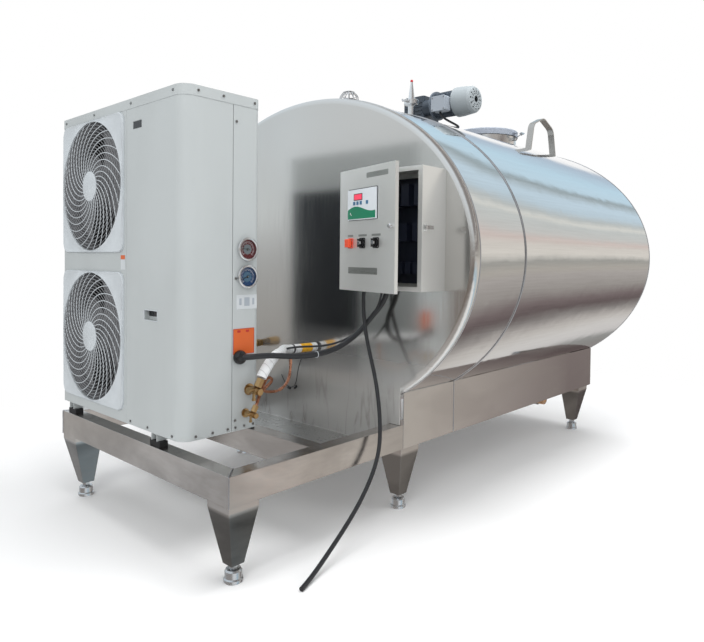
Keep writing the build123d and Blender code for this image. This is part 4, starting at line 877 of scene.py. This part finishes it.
# insulated stub with a brass union on the end sheet, behind the unit
stub_at = facing((FACE_X - 0.002, 0.297, 0.642), (-1, 0, 0))
union = [(0.0005, 0), (0.017, 0), (0.017, 0.006), (0.013, 0.008), (0.013, 0.012), (0.019, 0.014), (0.019, 0.030), (0.015, 0.033), (0.015, 0.040), (0.0005, 0.040)]
turned("stub_union", union, look["brass"], "tank", stub_at, 8)
brassy = moulded("stub_sleeve_tan", (0.50, 0.30, 0.09), 0.6, 120.0, 0.4)
sleeve = [(0.0005, 0.040), (0.021, 0.040), (0.023, 0.044), (0.0225, 0.075), (0.023, 0.105), (0.021, 0.110), (0.0005, 0.110)]
turned("stub_sleeve", sleeve, brassy, "tank", stub_at, 32)

# ---- floor, light and camera -------------------------------------------------------------------------
floor_mesh = bpy.data.meshes.new("floor")
floor_mesh.from_pydata([(-30, -30, 0), (30, -30, 0), (30, 30, 0), (-30, 30, 0)], [], [(0, 1, 2, 3)])
floor = bpy.data.objects.new("floor", floor_mesh)
bpy.context.scene.collection.objects.link(floor)
pale = Shader("pale_floor")
pale.set(Base_Color=pale.ramp(pale.noise(1.2, 2.0), (0.95, 0.95, 0.95), (0.97, 0.97, 0.97), 0.3, 0.7), Roughness=0.9)
# the floor fades into the white background away from the machine
flat = pale.node("ShaderNodeVectorMath", {0: pale.place, 1: (0.45, 0.6, 0)}, operation="MULTIPLY").outputs[0]
far = pale.node("ShaderNodeVectorMath", {0: flat}, operation="LENGTH").outputs["Value"]
fade = pale.node("ShaderNodeMapRange", {"Value": far, "From Min": 0.75, "From Max": 1.7}, interpolation_type="SMOOTHSTEP")
clear = pale.node("ShaderNodeBsdfTransparent")
ground = pale.node("ShaderNodeMixShader", {0: fade.outputs[0], 1: pale.surface.outputs[0], 2: clear.outputs[0]})
pale.tree.links.new(ground.outputs[0], pale.output.inputs[0])
floor_mesh.materials.append(pale.material)
floor.visible_glossy = False

scene = bpy.context.scene
world = bpy.data.worlds.new("studio")
scene.world = world
world.use_nodes = True
sky = Shader.__new__(Shader)
sky.tree = world.node_tree
sky.tree.nodes.clear()
sky.place = sky.node("ShaderNodeTexCoord").outputs["Generated"]


def sky_bands(stops, value, low, high):
    """Colours of the surroundings at stops of a value that runs from low to high."""
    share = sky.node("ShaderNodeMapRange", {"Value": value, "From Min": low, "From Max": high}).outputs[0]
    made = sky.node("ShaderNodeValToRGB", {"Fac": share})
    ramp = made.color_ramp
    while len(ramp.elements) < len(stops):
        ramp.elements.new(0.5)
    for element, (level, colour) in zip(ramp.elements, stops):
        element.position = (level - low) / (high - low)
        element.color = (*colour, 1)
    return made.outputs[0]


# what the drum and skirts mirror, by degrees round the machine's long axis: 0 is level
# on the near side, 90 is straight up, -90 is the ground
YARD = (
    (-180, (0.30, 0.28, 0.27)), (-138, (0.29, 0.26, 0.26)), (-125, (0.27, 0.26, 0.25)), (-113, (0.31, 0.31, 0.30)),
    (-106, (0.64, 0.62, 0.61)), (-95, (0.68, 0.66, 0.64)), (-84, (0.60, 0.57, 0.54)), (-75, (0.45, 0.42, 0.40)),
    (-67, (0.26, 0.24, 0.23)), (-58, (0.14, 0.11, 0.11)), (-50, (0.20, 0.16, 0.16)), (-37, (0.36, 0.335, 0.315)),
    (-20, (0.45, 0.42, 0.40)), (-12, (0.48, 0.45, 0.41)), (-3, (0.39, 0.385, 0.36)), (1, (0.62, 0.60, 0.56)),
    (5, (0.77, 0.735, 0.68)), (14, (0.73, 0.69, 0.64)), (21, (0.71, 0.61, 0.57)), (28, (0.65, 0.65, 0.63)),
    (40, (0.62, 0.65, 0.64)), (45, (0.79, 0.79, 0.745)), (51, (0.56, 0.595, 0.59)), (60, (0.58, 0.71, 0.80)),
    (71, (0.62, 0.77, 0.88)), (78, (0.48, 0.57, 0.62)), (83, (0.34, 0.40, 0.42)), (88, (0.60, 0.78, 0.90)),
    (105, (0.56, 0.76, 0.89)), (126, (0.46, 0.55, 0.66)), (133, (1.0, 1.0, 1.0)), (180, (1.0, 1.0, 1.0)),
)
# what the end sheet mirrors in front of the machine, by height of the ray
COOL_SIDE = (
    (-1.0, (0.34, 0.33, 0.32)), (-0.50, (0.44, 0.44, 0.44)), (-0.32, (0.58, 0.60, 0.62)), (-0.22, (0.46, 0.45, 0.43)),
    (-0.14, (0.44, 0.43, 0.41)), (0.00, (0.52, 0.535, 0.54)), (0.06, (0.74, 0.78, 0.79)), (0.20, (0.72, 0.78, 0.82)),
    (0.45, (0.78, 0.86, 0.92)), (1.00, (0.85, 0.93, 1.0)),
)
BROWN_WALL = (
    (-1.0, (0.42, 0.39, 0.37)), (-0.35, (0.42, 0.39, 0.37)), (-0.20, (0.22, 0.185, 0.165)), (-0.10, (0.20, 0.165, 0.145)),
    (0.00, (0.30, 0.27, 0.25)), (0.06, (0.42, 0.41, 0.40)), (0.16, (0.66, 0.68, 0.69)), (0.30, (0.76, 0.80, 0.83)),
    (1.00, (0.85, 0.93, 1.0)),
)
parts = sky.node("ShaderNodeSeparateXYZ", {"Vector": sky.place})
ray_x, ray_y, ray_z = (parts.outputs[letter] for letter in "XYZ")
round_axis = sky.maths("ARCTAN2", ray_z, sky.maths("MULTIPLY", ray_y, -1.0))
degrees = sky.maths("MULTIPLY", round_axis, 180 / math.pi)
# the bands drift a little along the drum
drift = sky.maths("MULTIPLY", sky.maths("SUBTRACT", 0.90, ray_x), sky.maths("MULTIPLY", ray_z, -420.0))
ripple = sky.maths("MULTIPLY", sky.maths("SUBTRACT", sky.noise(3.0, 1.0, (4.0, 1.0, 1.0)), 0.5), 14.0)
swung = sky.maths("ADD", degrees, sky.maths("ADD", drift, ripple))
warm = sky_bands(YARD, swung, -180, 180)


def eased(value, low, high):
    made = sky.node("ShaderNodeMapRange", {"Value": value, "From Min": low, "From Max": high}, interpolation_type="SMOOTHSTEP")
    return made.outputs[0]


cool_share = eased(sky.maths("SUBTRACT", ray_y, ray_x), -0.35, 0.35)
open_share = eased(ray_y, 0.64, 0.76)
cool = sky.mix(open_share, sky_bands(BROWN_WALL, ray_z, -1, 1), sky_bands(COOL_SIDE, ray_z, -1, 1))
reflected = sky.node("ShaderNodeBackground", {"Color": sky.mix(cool_share, warm, cool), "Strength": 1.0})
soft = sky.node("ShaderNodeBackground", {"Color": (0.97, 0.985, 1.0, 1), "Strength": 0.8})
seen = sky.node("ShaderNodeBackground", {"Color": (1, 1, 1, 1), "Strength": 1.0})
rays = sky.node("ShaderNodeLightPath").outputs
unseen = sky.node("ShaderNodeMixShader", {0: rays["Is Glossy Ray"], 1: soft.outputs[0], 2: reflected.outputs[0]})
both = sky.node("ShaderNodeMixShader", {0: rays["Is Camera Ray"], 1: unseen.outputs[0], 2: seen.outputs[0]})
sky.node("ShaderNodeOutputWorld", {0: both.outputs[0]})


def area_light(name, place, target, size, power, colour, glossy_share=True):
    lamp = bpy.data.lights.new(name, "AREA")
    lamp.shape = "RECTANGLE"
    lamp.size, lamp.size_y = size
    lamp.energy = power
    lamp.color = colour
    holder = bpy.data.objects.new(name, lamp)
    scene.collection.objects.link(holder)
    holder.location = place
    holder.rotation_euler = (Vector(target) - Vector(place)).to_track_quat("-Z", "Y").to_euler()
    holder.visible_glossy = glossy_share
    return holder


area_light("sky_panel", (0.2, -1.2, 5.2), (0.1, 0.1, 1.0), (5.0, 2.2), 190, (1.0, 1.0, 1.0), False)
area_light("front_panel", (-5.0, -2.6, 3.4), (-0.8, -0.2, 0.8), (3.0, 3.0), 80, (1.0, 0.99, 0.97), False)
area_light("side_panel", (2.0, -5.0, 2.8), (0.4, 0, 0.9), (3.5, 2.5), 25, (1.0, 0.98, 0.95), False)

yaw, pitch, roll = (math.radians(angle) for angle in (42.235, -1.347, 0.608))
forward = Vector((math.cos(pitch) * math.cos(yaw), math.cos(pitch) * math.sin(yaw), math.sin(pitch)))
right = forward.cross(Z_AXIS).normalized()
up = right.cross(forward)
tilted_right = right * math.cos(roll) + up * math.sin(roll)
tilted_up = up * math.cos(roll) - right * math.sin(roll)
lens = bpy.data.cameras.new("camera")
lens.lens = 32.02
lens.sensor_width = 36
lens.shift_x = -0.0172
lens.shift_y = -0.067
lens.clip_end = 200
camera = bpy.data.objects.new("camera", lens)
scene.collection.objects.link(camera)
placed = Matrix((tilted_right, tilted_up, -forward)).transposed().to_4x4()
placed.translation = Vector((-2.5815, -2.2563, 1.0769))
camera.matrix_world = placed
scene.camera = camera
scene.view_settings.view_transform = "Standard"
scene.view_settings.look = "None"

bpy.context.view_layer.update()
